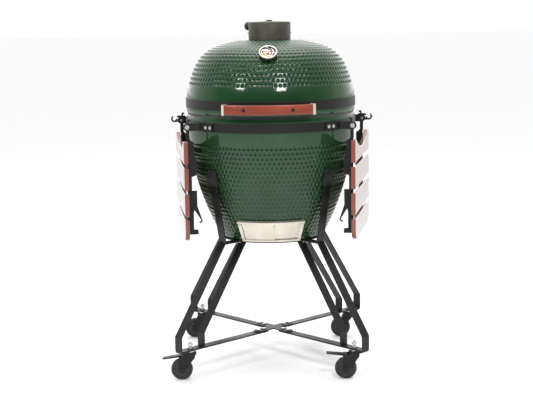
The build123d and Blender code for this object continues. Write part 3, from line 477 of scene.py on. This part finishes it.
def dial_card():
    """Printed dial: a grey scale with ticks, and an arc from yellow to red."""
    gauge = bpy.context.scene.kamado_gauge
    material, tree, shader = start_finish("dial_card", Roughness=0.42)
    dial = add(tree, "ShaderNodeAttribute", attribute_name="dial")
    parts = add(tree, "ShaderNodeSeparateXYZ", {0: dial.outputs["Vector"]})
    out = add(tree, "ShaderNodeVectorMath", {0: dial.outputs["Vector"]}, operation="LENGTH")
    reach = out.outputs["Value"]
    down = maths(tree, "MULTIPLY", parts.outputs["Y"], -1.0)
    angle = maths(tree, "ARCTAN2", parts.outputs["X"], down)
    turn = spread(tree, angle, -math.pi, math.pi, 0.0, 1.0)

    def between(value, low, high):
        """1 where a value lies between two others, 0 elsewhere."""
        return maths(tree, "MULTIPLY", maths(tree, "GREATER_THAN", value, low),
                     maths(tree, "LESS_THAN", value, high))

    step = maths(tree, "FRACT", maths(tree, "MULTIPLY", turn, float(gauge.ticks)))
    long_step = maths(tree, "FRACT", maths(tree, "MULTIPLY", turn, gauge.ticks / 4.0))
    scale = between(turn, 0.10, 0.90)
    ticks = maths(tree, "MULTIPLY", between(step, 0.36, 0.64), between(reach, 0.78, 0.92))
    long_ticks = maths(tree, "MULTIPLY", between(long_step, 0.44, 0.56), between(reach, 0.66, 0.92))
    marks = maths(tree, "MULTIPLY", maths(tree, "MAXIMUM", ticks, long_ticks), scale)
    band = maths(tree, "MULTIPLY", between(reach, 0.40, 0.60), scale)
    warm, red = (0.78, 0.52, 0.10, 1), (0.62, 0.06, 0.05, 1)
    hot = mixed(tree, spread(tree, turn, 0.35, 0.70, 0.0, 1.0), warm, red)
    card, rim = rgba(gauge.card_colour), rgba(gauge.card_colour, 0.72)
    face = mixed(tree, between(reach, 0.72, 0.95), card, rim)
    face = mixed(tree, band, face, hot)
    face = mixed(tree, marks, face, (0.03, 0.03, 0.03, 1))
    feed(shader, "Base Color", face)
    paper = noise(tree, place(tree), 900.0, 2.0)
    feed(shader, "Normal", bumped(tree, paper, 0.1, 0.0002))
    return material


FINISHES = {
    "green_glaze": green_glaze, "black_steel": coated_steel, "cast_vent": cast_vent,
    "stainless": stainless, "zinc": bright_zinc, "handle_wood": handle_wood,
    "slat_wood": slat_wood, "felt": felt, "fire_clay": fire_clay, "iron": cast_iron,
    "wheel_rubber": wheel_rubber, "black_plastic": black_plastic, "pointer_red": pointer_red,
    "clear_glass": clear_glass, "dial_card": dial_card,
}


def finish_named(slot):
    """The finish of a material slot, made the first time it is asked for."""
    name = slot + "_finish"
    material = bpy.data.materials.get(name)
    if material is None:
        material = FINISHES[slot]()
        material.name = name
    return material


# ---- mesh helpers ----------------------------------------------------------------------
def place_piece(bm, name, body, slot, replaced=(), sharp_deg=40.0):
    """Write a bmesh out as a piece that rides on a body and takes a slot's finish."""
    mesh = bpy.data.meshes.new(name)
    bm.to_mesh(mesh)
    bm.free()
    mesh.shade_smooth()
    mesh.set_sharp_from_angle(angle=math.radians(sharp_deg))
    piece = bpy.data.objects.new(name, mesh)
    bpy.context.scene.collection.objects.link(piece)
    mesh.materials.append(finish_named(slot))
    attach(piece, body)
    if replaced:
        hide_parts(*replaced)


def add_strip(bm, points, steps, layers, marks):
    """Wrap a grid round the upright axis, with one row of its points at each (radius, height).

    marks gives each row's offset from the middle of its dimple row, and the dimple row's count and
    phase. The two end rings get their own numbers, so that they can be found and bridged.
    """
    offset, count, phase, ring = layers
    first = marks["first"]
    last_row = len(points) - 1
    grid = bmesh.ops.create_grid(bm, x_segments=steps, y_segments=last_row, size=1.0)
    seam = []
    for vert in grid["verts"]:
        k = round((vert.co.y + 1) / 2 * last_row)
        turn = (vert.co.x + 1) * math.pi
        if abs(vert.co.x) > 1 - 0.5 / steps:
            seam.append(vert)
        radius, height = points[k]
        vert.co = (radius * math.sin(turn), -radius * math.cos(turn), height)
        vert[offset] = marks["offsets"][k] if marks["offsets"] else 0.0
        vert[count] = marks["count"]
        vert[phase] = marks["phase"]
        vert[ring] = {0: first, last_row: first + 1}.get(k, 0)
    bmesh.ops.remove_doubles(bm, verts=seam, dist=1e-6)
    return first + 2


def turned_piece(points, steps=PLAIN_STEPS, closed=False):
    """A bmesh of a line of (radius, height) points turned about the upright axis."""
    bm = bmesh.new()
    verts = [bm.verts.new((0.0, -r, z)) for r, z in points]
    pairs = list(zip(verts, verts[1:]))
    if closed:
        pairs.append((verts[-1], verts[0]))
    edges = [bm.edges.new(pair) for pair in pairs]
    bmesh.ops.spin(bm, geom=verts + edges, cent=(0, 0, 0), axis=(0, 0, 1), dvec=(0, 0, 0),
                   angle=2 * math.pi, steps=steps, use_merge=True, use_duplicate=False)
    bmesh.ops.remove_doubles(bm, verts=bm.verts, dist=1e-6)
    bmesh.ops.recalc_face_normals(bm, faces=bm.faces)
    return bm


# ---- ceramic ---------------------------------------------------------------------------
class Outline:
    """Outside of a turned shell from its foot to its top, read from its CAD node."""

    def __init__(self, node, spacing=0.004):
        rows = sorted({(round(v.co.z, 6), round(math.hypot(v.co.x, v.co.y), 6))
                       for v in nodes[node].data.vertices})
        hull = []
        for height, radius in rows:
            here = Vector((radius, height))
            while len(hull) > 1 and (hull[-1] - hull[-2]).cross(here - hull[-1]) <= 0:
                hull.pop()
            hull.append(here)
        self.points = [hull[0]]
        for here in hull[1:]:
            if (here - self.points[-1]).length > spacing:
                self.points.append(here)
        self.along = [0.0]
        for first, second in zip(self.points, self.points[1:]):
            self.along.append(self.along[-1] + (second - first).length)

    def slope(self, k):
        low, high = max(k - 1, 0), min(k + 1, len(self.points) - 1)
        return (self.points[high] - self.points[low]) / (self.along[high] - self.along[low])

    def at(self, distance):
        """Point at a distance along the outline, and the way out of it."""
        k = 0
        while k < len(self.along) - 2 and self.along[k + 1] < distance:
            k += 1
        span = self.along[k + 1] - self.along[k]
        t = (distance - self.along[k]) / span
        first, second = self.points[k], self.points[k + 1]
        start, end = self.slope(k) * span, self.slope(k + 1) * span
        point = (first * (2 * t ** 3 - 3 * t ** 2 + 1) + start * (t ** 3 - 2 * t ** 2 + t)
                 + second * (3 * t ** 2 - 2 * t ** 3) + end * (t ** 3 - t ** 2))
        way = (self.slope(k) * (1 - t) + self.slope(k + 1) * t).normalized()
        return point, Vector((way.y, -way.x))

    def where(self, test):
        """Distance along the outline where a test of the point first holds."""
        distance = 0.0
        while distance < self.along[-1] and not test(self.at(distance)[0]):
            distance += 0.0005
        return distance


def dimple_rows(outline, low, high):
    """Middle, half length, count and phase of each row of dimples between two distances."""
    glaze = bpy.context.scene.kamado_glaze
    total = max(1, round((high - low) / glaze.row_pitch))
    pitch = (high - low) / total
    rows = []
    for k in range(total):
        middle = low + (k + 0.5) * pitch
        radius = outline.at(middle)[0].x
        rows.append({"middle": middle, "half": pitch / 2,
                     "count": round(2 * math.pi * radius / glaze.round_pitch), "phase": 0.5 * (k % 2)})
    return rows


def dimpled_shell(outline, rows, before, after, columns, levels):
    """A bmesh of a turned shell, with rows of dimples between two lists of plain runs.

    A plain run is its (radius, height) points and its steps round the axis. The section closes
    from the last run back to the first.
    """
    bm = bmesh.new()
    layers = (bm.verts.layers.float.new("offset"), bm.verts.layers.int.new("count"),
              bm.verts.layers.float.new("phase"), bm.verts.layers.int.new("ring"))
    number = 1
    plain = {"offsets": None, "count": 0, "phase": 0.0}
    for points, steps in before:
        number = add_strip(bm, points, steps, layers, {**plain, "first": number})
    for row in rows:
        land = LAND_SHARE * row["half"]
        reach = row["half"] - land / 2
        offsets = [reach * (2 * k / (levels - 1) - 1) for k in range(levels)]
        points = [tuple(outline.at(row["middle"] + o)[0]) for o in offsets]
        number = add_strip(bm, points, row["count"] * columns, layers, {
            "offsets": offsets, "count": row["count"], "phase": row["phase"], "first": number})
    for points, steps in after:
        number = add_strip(bm, points, steps, layers, {**plain, "first": number})
    close_rings(bm, layers[3], number)
    press_dimples(bm, outline, layers)
    return bm


def close_rings(bm, ring, number):
    """Bridge each strip's end ring to the start of the next, and the last to the first.

    A section that starts and ends on the axis has no first and last ring to join.
    """
    loops = {}
    for edge in bm.edges:
        name = edge.verts[0][ring]
        if name and name == edge.verts[1][ring] and edge.is_boundary:
            loops.setdefault(name, []).append(edge)
    for end in range(2, number - 1, 2):
        bmesh.ops.bridge_loops(bm, edges=loops[end] + loops[end + 1])
    if 1 in loops and number - 1 in loops and len(loops[1]) > 8:
        bmesh.ops.bridge_loops(bm, edges=loops[1] + loops[number - 1])
    on_axis = [v for v in bm.verts if math.hypot(v.co.x, v.co.y) < 1e-5]
    bmesh.ops.remove_doubles(bm, verts=on_axis, dist=1e-5)
    bmesh.ops.recalc_face_normals(bm, faces=bm.faces)


def press_dimples(bm, outline, layers):
    """Move each point of the dimple rows inwards by the depth of the bowl it lies in."""
    glaze = bpy.context.scene.kamado_glaze
    offset, count, phase, _ = layers
    bowl = bm.verts.layers.float.new("bowl")
    bm.normal_update()
    moves = []
    for vert in bm.verts:
        if not vert[count]:
            continue
        turn = math.atan2(vert.co.x, -vert.co.y) / (2 * math.pi)
        cell = turn * vert[count] + vert[phase]
        sideways = (cell - math.floor(cell) - 0.5) * 2 * math.pi / vert[count]
        sideways *= math.hypot(vert.co.x, vert.co.y)
        share = math.hypot(sideways, vert[offset]) / glaze.bowl_radius
        if share < 1:
            vert[bowl] = (1 - share ** 2) ** 2
            moves.append((vert, vert.normal.copy()))
    for vert, way in moves:
        vert.co -= way * (vert[bowl] * glaze.bowl_depth)


def cut_draught_port(bm, start_deg, end_deg, low, high):
    """Open the port through the pot's wall behind the draft door."""
    def near():
        faces = [f for f in bm.faces if f.calc_center_median().y < 0
                 and low - 0.05 < f.calc_center_median().z < high + 0.05]
        edges = {e for f in faces for e in f.edges}
        return faces + list(edges) + list({v for e in edges for v in e.verts})

    for angle in (start_deg, end_deg):
        way = Vector((math.cos(math.radians(angle)), math.sin(math.radians(angle)), 0))
        bmesh.ops.bisect_plane(bm, geom=near(), dist=1e-6, plane_co=(0, 0, 0), plane_no=way)
    for height in (low, high):
        bmesh.ops.bisect_plane(bm, geom=near(), dist=1e-6, plane_co=(0, 0, height), plane_no=(0, 0, 1))
    doomed = []
    for face in bm.faces:
        middle = face.calc_center_median()
        angle = math.degrees(math.atan2(middle.x, -middle.y))
        radius = math.hypot(middle.x, middle.y)
        if start_deg < angle < end_deg and low < middle.z < high and radius > 0.1:
            doomed.append(face)
    bmesh.ops.delete(bm, geom=doomed, context="FACES")
    rim = [e for e in bm.edges if e.is_boundary]
    bmesh.ops.bridge_loops(bm, edges=rim)
    bmesh.ops.recalc_face_normals(bm, faces=bm.faces)


class KAMADO_OT_pot(bpy.types.Operator):
    """Pot shell with pressed dimples, a smooth belt under the rim and the draught port"""

    bl_idname = "kamado.pot"
    bl_label = "Dimpled pot"

    wall = 0.024
    floor = 0.028
    edge = 0.006
    rim_round = 0.003
    columns = 6
    levels = 7
    port_deg = (-24.0, -2.0)
    port_heights = (0.491, 0.525)

    def execute(self, context):
        glaze = context.scene.kamado_glaze
        outline = Outline("pot_shell")
        low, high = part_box("pot_shell")
        rim_r, rim_z, base_z = high.x, high.z, low.z
        start = outline.where(lambda p: p.y > glaze.pot_low)
        end = outline.where(lambda p: p.y > glaze.pot_top)
        rows = dimple_rows(outline, start, end)
        side_foot = outline.where(lambda p: p.y > base_z + self.edge)
        foot_r = outline.at(side_foot)[0].x
        floor_z = base_z + self.floor
        base = [(0, base_z), (foot_r * 0.5, base_z), (foot_r - 2 * self.edge, base_z)]
        base += [(foot_r - self.edge, base_z + 0.0008), (foot_r - 0.0015, base_z + 0.0035)]
        base += [tuple(outline.at(side_foot)[0]), tuple(outline.at(start - SEAM)[0])]
        top = outline.along[-1]
        belt = [tuple(outline.at(end + SEAM + (top - 0.004 - end) * k / 6)[0]) for k in range(7)]
        belt += [(rim_r - 0.0008, rim_z - 0.0012), (rim_r - self.rim_round, rim_z)]
        inner_r = rim_r - self.wall
        rim = [(inner_r + self.rim_round, rim_z), (inner_r + 0.0008, rim_z - 0.0012)]
        inside = []
        for k in range(1, 13):
            distance = top + (side_foot - top) * k / 12
            point, way = outline.at(distance)
            spot = point - way * self.wall
            if spot.y > floor_z + 0.004:
                inside.append(tuple(spot))
        last_r = inside[-1][0]
        inside += [(last_r - 0.004, floor_z), (last_r * 0.5, floor_z), (0, floor_z)]
        steps = rows[-1]["count"] * self.columns
        bm = dimpled_shell(outline, rows, [(base, PLAIN_STEPS)],
                           [(belt, steps), (rim + inside, PLAIN_STEPS)], self.columns, self.levels)
        cut_draught_port(bm, *self.port_deg, *self.port_heights)
        place_piece(bm, "pot_ceramic", "pot", "green_glaze", ["pot_shell"], 50)
        return {"FINISHED"}


class KAMADO_OT_dome(bpy.types.Operator):
    """Dome shell with pressed dimples, a smooth belt over the rim and the flue"""

    bl_idname = "kamado.dome"
    bl_label = "Dimpled dome"

    wall = 0.020
    crown_r = 0.070
    flue_r = 0.052
    rim_round = 0.003
    columns = 7
    levels = 7

    def execute(self, context):
        glaze = context.scene.kamado_glaze
        outline = Outline("dome_shell")
        low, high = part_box("dome_shell")
        rim_r, rim_z, crown_z = high.x, low.z, high.z
        start = outline.where(lambda p: p.y > glaze.dome_low)
        end = outline.where(lambda p: p.x < glaze.dome_top_radius and p.y > crown_z - 0.05)
        rows = dimple_rows(outline, start, end)
        foot = outline.where(lambda p: p.y > rim_z + 0.003 and p.x > rim_r - 0.001)
        belt = [(rim_r - self.rim_round, rim_z), (rim_r - 0.0008, rim_z + 0.0012)]
        belt += [tuple(outline.at(foot + (start - SEAM - foot) * k / 9)[0]) for k in range(10)]
        crown = [tuple(outline.at(end + SEAM)[0]), (self.crown_r, crown_z)]
        crown += [(self.flue_r + 0.002, crown_z)]
        crown += [(self.flue_r, crown_z - 0.002), (self.flue_r, crown_z - self.wall)]
        crown += [(self.crown_r, crown_z - self.wall)]
        for k in range(1, 24):
            point, way = outline.at(end + (foot - end) * k / 24)
            crown.append(tuple(point - way * self.wall))
        crown += [(rim_r - self.wall, rim_z + 0.002), (rim_r - self.wall + 0.002, rim_z)]
        steps = rows[0]["count"] * self.columns
        bm = dimpled_shell(outline, rows, [(belt, steps)], [(crown, PLAIN_STEPS)],
                           self.columns, self.levels)
        place_piece(bm, "dome_ceramic", "lid", "green_glaze", ["dome_shell"], 50)
        return {"FINISHED"}


# ---- wheels ----------------------------------------------------------------------------
class KAMADO_OT_wheels(bpy.types.Operator):
    """Four caster wheels with a grooved tread and a dished web"""

    bl_idname = "kamado.wheels"
    bl_label = "Caster wheels"

    bore = 0.0044
    # distance from the axle as a share of the radius, and depth below the wheel's side
    web = ((0.24, 0.0), (0.27, 0.0012), (0.31, 0.0012), (0.34, 0.0), (0.42, 0.0), (0.50, 0.0025),
           (0.70, 0.0025), (0.74, 0.0008), (0.77, 0.0020), (0.80, 0.0004), (0.90, 0.0008),
           (0.97, 0.0034), (1.0, 0.0070))
    # depth below the tread, and distance from the wheel's middle plane
    groove = ((0.0, 0.0026), (0.0012, 0.0016), (0.0012, -0.0016), (0.0, -0.0026))

    def execute(self, context):
        for corner in CORNERS:
            low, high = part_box("caster_wheel_" + corner)
            middle = (low + high) / 2
            radius, half = (high.x - low.x) / 2, (high.y - low.y) / 2
            side = [(self.bore, half)]
            side += [(share * radius, half - depth) for share, depth in self.web]
            tread = [(radius - depth, z) for depth, z in self.groove]
            whole = side + tread + [(r, -z) for r, z in reversed(side)]
            bm = turned_piece(whole, 72, closed=True)
            bmesh.ops.rotate(bm, verts=bm.verts, matrix=Matrix.Rotation(math.radians(90), 3, "X"))
            bmesh.ops.translate(bm, verts=bm.verts, vec=middle)
            place_piece(bm, "wheel_tread_" + corner, "wheel_" + corner, "wheel_rubber",
                        ["caster_wheel_" + corner], 35)
        return {"FINISHED"}


# ---- hinge springs ---------------------------------------------------------------------
class KAMADO_OT_springs(bpy.types.Operator):
    """Two closely wound torsion springs on the hinge pin"""

    bl_idname = "kamado.springs"
    bl_label = "Hinge springs"

    wire_sides = 8
    steps_per_turn = 24
    gap = 0.006

    def execute(self, context):
        metal = context.scene.kamado_metal
        low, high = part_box("hinge_springs")
        middle = (low + high) / 2
        coil_r = (high.z - low.z) / 2 - metal.spring_wire / 2
        length = high.x - self.gap - metal.spring_wire
        bm = bmesh.new()
        for side in (-1, 1):
            circle = bmesh.ops.create_circle(
                bm, cap_ends=True, radius=metal.spring_wire / 2, segments=self.wire_sides)
            start = Vector((side * (self.gap + metal.spring_wire / 2), middle.y, middle.z + coil_r))
            matrix = Matrix.Translation(start) @ Matrix.Rotation(math.radians(90), 4, "X")
            bmesh.ops.transform(bm, matrix=matrix, verts=circle["verts"])
            ring = {e for v in circle["verts"] for e in v.link_edges}
            faces = {f for v in circle["verts"] for f in v.link_faces}
            steps = self.steps_per_turn * metal.spring_turns
            bmesh.ops.spin(bm, geom=circle["verts"] + list(ring) + list(faces),
                           cent=(0, middle.y, middle.z), axis=(1, 0, 0),
                           dvec=(side * length / steps, 0, 0),
                           angle=2 * math.pi * metal.spring_turns, steps=steps)
        bmesh.ops.recalc_face_normals(bm, faces=bm.faces)
        place_piece(bm, "hinge_coils", "pot", "zinc", ["hinge_springs"], 60)
        return {"FINISHED"}


# ---- gauge -----------------------------------------------------------------------------
GAUGE_TILT = math.radians(50)      # direction of the dial above the horizontal


def gauge_matrix():
    """The dial's own frame: its middle, with Z along its axis and X to the right."""
    low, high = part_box("gauge_dial")
    out = Vector((0, -math.cos(GAUGE_TILT), math.sin(GAUGE_TILT)))
    right = Vector((1, 0, 0))
    upward = out.cross(right)
    turn = Matrix((right, upward, out)).transposed().to_4x4()
    return Matrix.Translation((low + high) / 2) @ turn


class KAMADO_OT_gauge(bpy.types.Operator):
    """Printed dial card and a polished ring round the lens"""

    bl_idname = "kamado.gauge"
    bl_label = "Gauge"

    card_r = 0.0263
    card_t = 0.0005
    outer = 0.030
    front = 0.0078
    # the ring's section: out from the outer radius, and up from the front
    section = ((0.0, -0.004), (0.0012, -0.003), (0.0012, -0.001), (-0.0002, 0.0010),
               (-0.0022, 0.0014), (-0.0036, 0.0004), (-0.0038, -0.0004), (0.0001, -0.0006),
               (0.0001, -0.004))

    def execute(self, context):
        matrix = gauge_matrix()
        bm = bmesh.new()
        bmesh.ops.create_circle(bm, cap_ends=True, radius=self.card_r, segments=96)
        bmesh.ops.inset_region(bm, faces=bm.faces[:], thickness=0.0004, depth=self.card_t)
        dial = bm.verts.layers.float_vector.new("dial")
        for vert in bm.verts:
            vert[dial] = vert.co / self.card_r
        bmesh.ops.transform(bm, matrix=matrix, verts=bm.verts)
        place_piece(bm, "dial_face", "lid", "dial_card", ["gauge_dial"], 30)

        ring = [(self.outer + out, self.front + up) for out, up in self.section]
        bm = turned_piece(ring, 96, closed=True)
        bmesh.ops.transform(bm, matrix=matrix, verts=bm.verts)
        place_piece(bm, "gauge_ring", "lid", "stainless", (), 35)
        return {"FINISHED"}


# ---- cooking grate ---------------------------------------------------------------------
class KAMADO_OT_grate(bpy.types.Operator):
    """Round-wire cooking grate with two cross wires under it"""

    bl_idname = "kamado.grate"
    bl_label = "Cooking grate"

    wire_r = 0.0024
    rim_r = 0.0030
    pitch = 0.018
    sides = 8

    def wire(self, bm, start, end):
        """One straight wire between two points."""
        way = end - start
        circle = bmesh.ops.create_circle(bm, cap_ends=True, radius=self.wire_r, segments=self.sides)
        matrix = Matrix.Translation(start) @ way.to_track_quat("Z", "Y").to_matrix().to_4x4()
        bmesh.ops.transform(bm, matrix=matrix, verts=circle["verts"])
        faces = {f for v in circle["verts"] for f in v.link_faces}
        pulled = bmesh.ops.extrude_face_region(bm, geom=list(faces))
        tips = [v for v in pulled["geom"] if isinstance(v, bmesh.types.BMVert)]
        bmesh.ops.translate(bm, verts=tips, vec=way)

    def execute(self, context):
        low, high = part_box("cooking_grate")
        radius = high.x - self.rim_r
        top = high.z - self.wire_r
        bm = bmesh.new()
        ring = bmesh.ops.create_circle(bm, cap_ends=False, radius=self.rim_r, segments=10)
        matrix = (Matrix.Translation((radius, 0, high.z - self.rim_r))
                  @ Matrix.Rotation(math.radians(90), 4, "X"))
        bmesh.ops.transform(bm, matrix=matrix, verts=ring["verts"])
        edges = {e for v in ring["verts"] for e in v.link_edges}
        bmesh.ops.spin(bm, geom=ring["verts"] + list(edges), cent=(0, 0, 0), axis=(0, 0, 1),
                       dvec=(0, 0, 0), angle=2 * math.pi, steps=144, use_merge=True)
        count = int((radius - self.rim_r) / self.pitch)
        for k in range(-count, count + 1):
            half = math.sqrt(radius ** 2 - (k * self.pitch) ** 2)
            self.wire(bm, Vector((k * self.pitch, -half, top)), Vector((k * self.pitch, half, top)))
        for side in (-1, 1):
            half = math.sqrt(radius ** 2 - (radius / 2) ** 2)
            z = low.z + self.wire_r * 0.6
            self.wire(bm, Vector((-half, side * radius / 2, z)), Vector((half, side * radius / 2, z)))
        bmesh.ops.recalc_face_normals(bm, faces=bm.faces)
        place_piece(bm, "wire_grate", "cooking_grate", "stainless", ["cooking_grate"], 60)
        return {"FINISHED"}


# ---- finishes of the frame's own pieces ------------------------------------------------
NODE_SLOTS = {
    "felt": ["pot_gasket", "dome_gasket"],
    "fire_clay": ["firebox", "fire_ring"],
    "iron": ["charcoal_grate"],
    "black_steel": [
        "pot_band", "dome_band", "hinge_lower", "hinge_upper", "shelf_brackets_left",
        "shelf_brackets_right", "outer_legs", "inner_legs", "leg_links", "support_ring",
        "brace_bars", "brace_plate", "handle_screws", "shelf_arms_left", "shelf_arms_right",
        "brake_pedal_front_left", "brake_pedal_front_right", "gauge_housing"]
        + ["caster_fork_" + corner for corner in CORNERS],
    "zinc": ["hinge_pin", "draft_screws", "shelf_pivot_pins", "bracket_bolts", "cart_bolts",
             "caster_stems", "vent_clamp_screws", "shelf_screws_left", "shelf_screws_right"],
    "stainless": ["draft_frame", "draft_door", "draft_screen", "handle_brackets", "gauge_probe"],
    "handle_wood": ["handle_bar"],
    "slat_wood": ["shelf_slats_left", "shelf_slats_right"],
    "cast_vent": ["vent_tower", "vent_pivot_screw", "vent_disc"],
    "black_plastic": ["upright_caps", "vent_knob"],
    "clear_glass": ["gauge_lens"],
    "pointer_red": ["gauge_pointer"],
}


class KAMADO_OT_finishes(bpy.types.Operator):
    """Wood, metal, clay and glass finishes on the frame's own pieces"""

    bl_idname = "kamado.finishes"
    bl_label = "Finishes"

    def execute(self, context):
        for slot, names in NODE_SLOTS.items():
            finish = finish_named(slot)
            for name in names:
                mesh = nodes[name].data
                for k in range(len(mesh.materials)):
                    mesh.materials[k] = finish
                if not mesh.materials:
                    mesh.materials.append(finish)
        return {"FINISHED"}


# ---- studio ----------------------------------------------------------------------------
class KAMADO_OT_studio(bpy.types.Operator):
    """Pale floor, soft lights and the camera"""

    bl_idname = "kamado.studio"
    bl_label = "Studio"

    floor_r = 60.0
    # name, place, point aimed at, size and power of each panel light
    panels = (
        ("light_left", (-2.8, -3.1, 3.1), (0, 0, 0.95), (0.8, 0.5), 60.0),
        ("light_right", (1.0, -3.5, 3.0), (0, 0, 0.95), (0.8, 0.8), 80.0),
        ("light_top", (0.0, 0.6, 3.6), (0, 0, 0.9), (2.4, 2.4), 45.0),
    )

    def execute(self, context):
        studio = context.scene.kamado_studio
        self.floor()
        self.room(studio)
        for row in self.panels:
            self.panel(*row)
        self.camera(studio)
        context.scene.view_settings.view_transform = "Standard"
        return {"FINISHED"}

    def floor(self):
        """Wide pale floor that the grill stands on."""
        bm = bmesh.new()
        bmesh.ops.create_circle(bm, cap_ends=True, radius=self.floor_r, segments=64)
        bmesh.ops.recalc_face_normals(bm, faces=bm.faces)
        mesh = bpy.data.meshes.new("studio_floor")
        bm.to_mesh(mesh)
        bm.free()
        ground = bpy.data.objects.new("studio_floor", mesh)
        bpy.context.scene.collection.objects.link(ground)
        material, tree, shader = start_finish("studio_floor", Roughness=0.9, Specular_IOR_Level=0.1)
        grain = noise(tree, place(tree), 3.0)
        feed(shader, "Base Color", mixed(tree, grain, (0.92, 0.92, 0.92, 1), (0.95, 0.95, 0.95, 1)))
        mesh.materials.append(material)

    def room(self, studio):
        """White surround: dim on the front's side, brightest on the wall behind."""
        world = bpy.data.worlds.new("studio")
        bpy.context.scene.world = world
        world.use_nodes = True
        tree = world.node_tree
        back = tree.nodes["Background"]
        way = add(tree, "ShaderNodeTexCoord").outputs["Generated"]
        parts = add(tree, "ShaderNodeSeparateXYZ", {0: way})
        behind = spread(tree, parts.outputs["Y"], -0.35, 0.25, studio.front_light, 1.0)
        above = spread(tree, parts.outputs["Z"], 0.25, 0.8, 0.0, 1.0)
        seen = add(tree, "ShaderNodeLightPath").outputs["Is Camera Ray"]
        wall = spread(tree, parts.outputs["Y"], 0.35, 0.85, 0.0, studio.wall_light)
        lit = maths(tree, "ADD", maths(tree, "MAXIMUM", behind, above), wall)
        lit = maths(tree, "MULTIPLY", lit, studio.room_light)
        shown = maths(tree, "MULTIPLY", seen, studio.backdrop)
        unseen = maths(tree, "SUBTRACT", 1.0, seen)
        level = maths(tree, "ADD", maths(tree, "MULTIPLY", lit, unseen), shown)
        tree.links.new(level, back.inputs["Strength"])
        back.inputs["Color"].default_value = (1.0, 1.0, 1.0, 1.0)

    def panel(self, name, spot, aim, size, power):
        """One soft panel light aimed at a point."""
        light = bpy.data.lights.new(name, "AREA")
        light.shape = "RECTANGLE"
        light.size, light.size_y = size
        light.energy = power
        lamp = bpy.data.objects.new(name, light)
        lamp.location = spot
        lamp.rotation_euler = (Vector(aim) - Vector(spot)).to_track_quat("-Z", "Y").to_euler()
        bpy.context.scene.collection.objects.link(lamp)

    def camera(self, studio):
        """Camera at the height and angle that the grill is seen from."""
        lens = bpy.data.cameras.new("camera")
        lens.lens = studio.lens
        lens.sensor_width = 36.0
        eye = bpy.data.objects.new("camera", lens)
        eye.location = (studio.distance * math.sin(studio.orbit),
                        -studio.distance * math.cos(studio.orbit), studio.height)
        heading = -(studio.orbit + studio.pan)
        ahead = Vector((math.sin(heading) * math.cos(studio.pitch),
                        math.cos(heading) * math.cos(studio.pitch), -math.sin(studio.pitch)))
        right = Vector((math.cos(heading), -math.sin(heading), 0))
        upward = right.cross(ahead)
        level = Matrix((right, upward, -ahead)).transposed()
        turn = level @ Matrix.Rotation(-studio.roll, 3, "Z")
        eye.rotation_euler = turn.to_euler()
        bpy.context.scene.collection.objects.link(eye)
        bpy.context.scene.camera = eye


# ---- panel and registration ------------------------------------------------------------
OPERATORS = (KAMADO_OT_studio, KAMADO_OT_finishes, KAMADO_OT_pot, KAMADO_OT_dome,
             KAMADO_OT_gauge, KAMADO_OT_wheels, KAMADO_OT_springs, KAMADO_OT_grate)


class KAMADO_PT_grill(bpy.types.Panel):
    """Builds the grill's pieces one by one"""

    bl_label = "Kamado grill"
    bl_idname = "KAMADO_PT_grill"
    bl_space_type = "VIEW_3D"
    bl_region_type = "UI"
    bl_category = GRILL_TAB

    def draw(self, context):
        for operator in OPERATORS:
            self.layout.operator(operator.bl_idname)
        for name, group in SETTINGS.items():
            box = self.layout.box()
            for prop in group.__annotations__:
                box.prop(getattr(context.scene, name), prop)


def register():
    for group in SETTINGS.values():
        bpy.utils.register_class(group)
    for name, group in SETTINGS.items():
        setattr(bpy.types.Scene, name, PointerProperty(type=group))
    for operator in OPERATORS:
        bpy.utils.register_class(operator)
    bpy.utils.register_class(KAMADO_PT_grill)


def unregister():
    bpy.utils.unregister_class(KAMADO_PT_grill)
    for operator in reversed(OPERATORS):
        bpy.utils.unregister_class(operator)
    for name, group in SETTINGS.items():
        delattr(bpy.types.Scene, name)
        bpy.utils.unregister_class(group)


def main():
    register()
    bpy.ops.kamado.studio()
    bpy.ops.kamado.finishes()
    bpy.ops.kamado.pot()
    bpy.ops.kamado.dome()
    bpy.ops.kamado.gauge()
    bpy.ops.kamado.wheels()
    bpy.ops.kamado.springs()
    bpy.ops.kamado.grate()


if __name__ == "__main__":
    main()
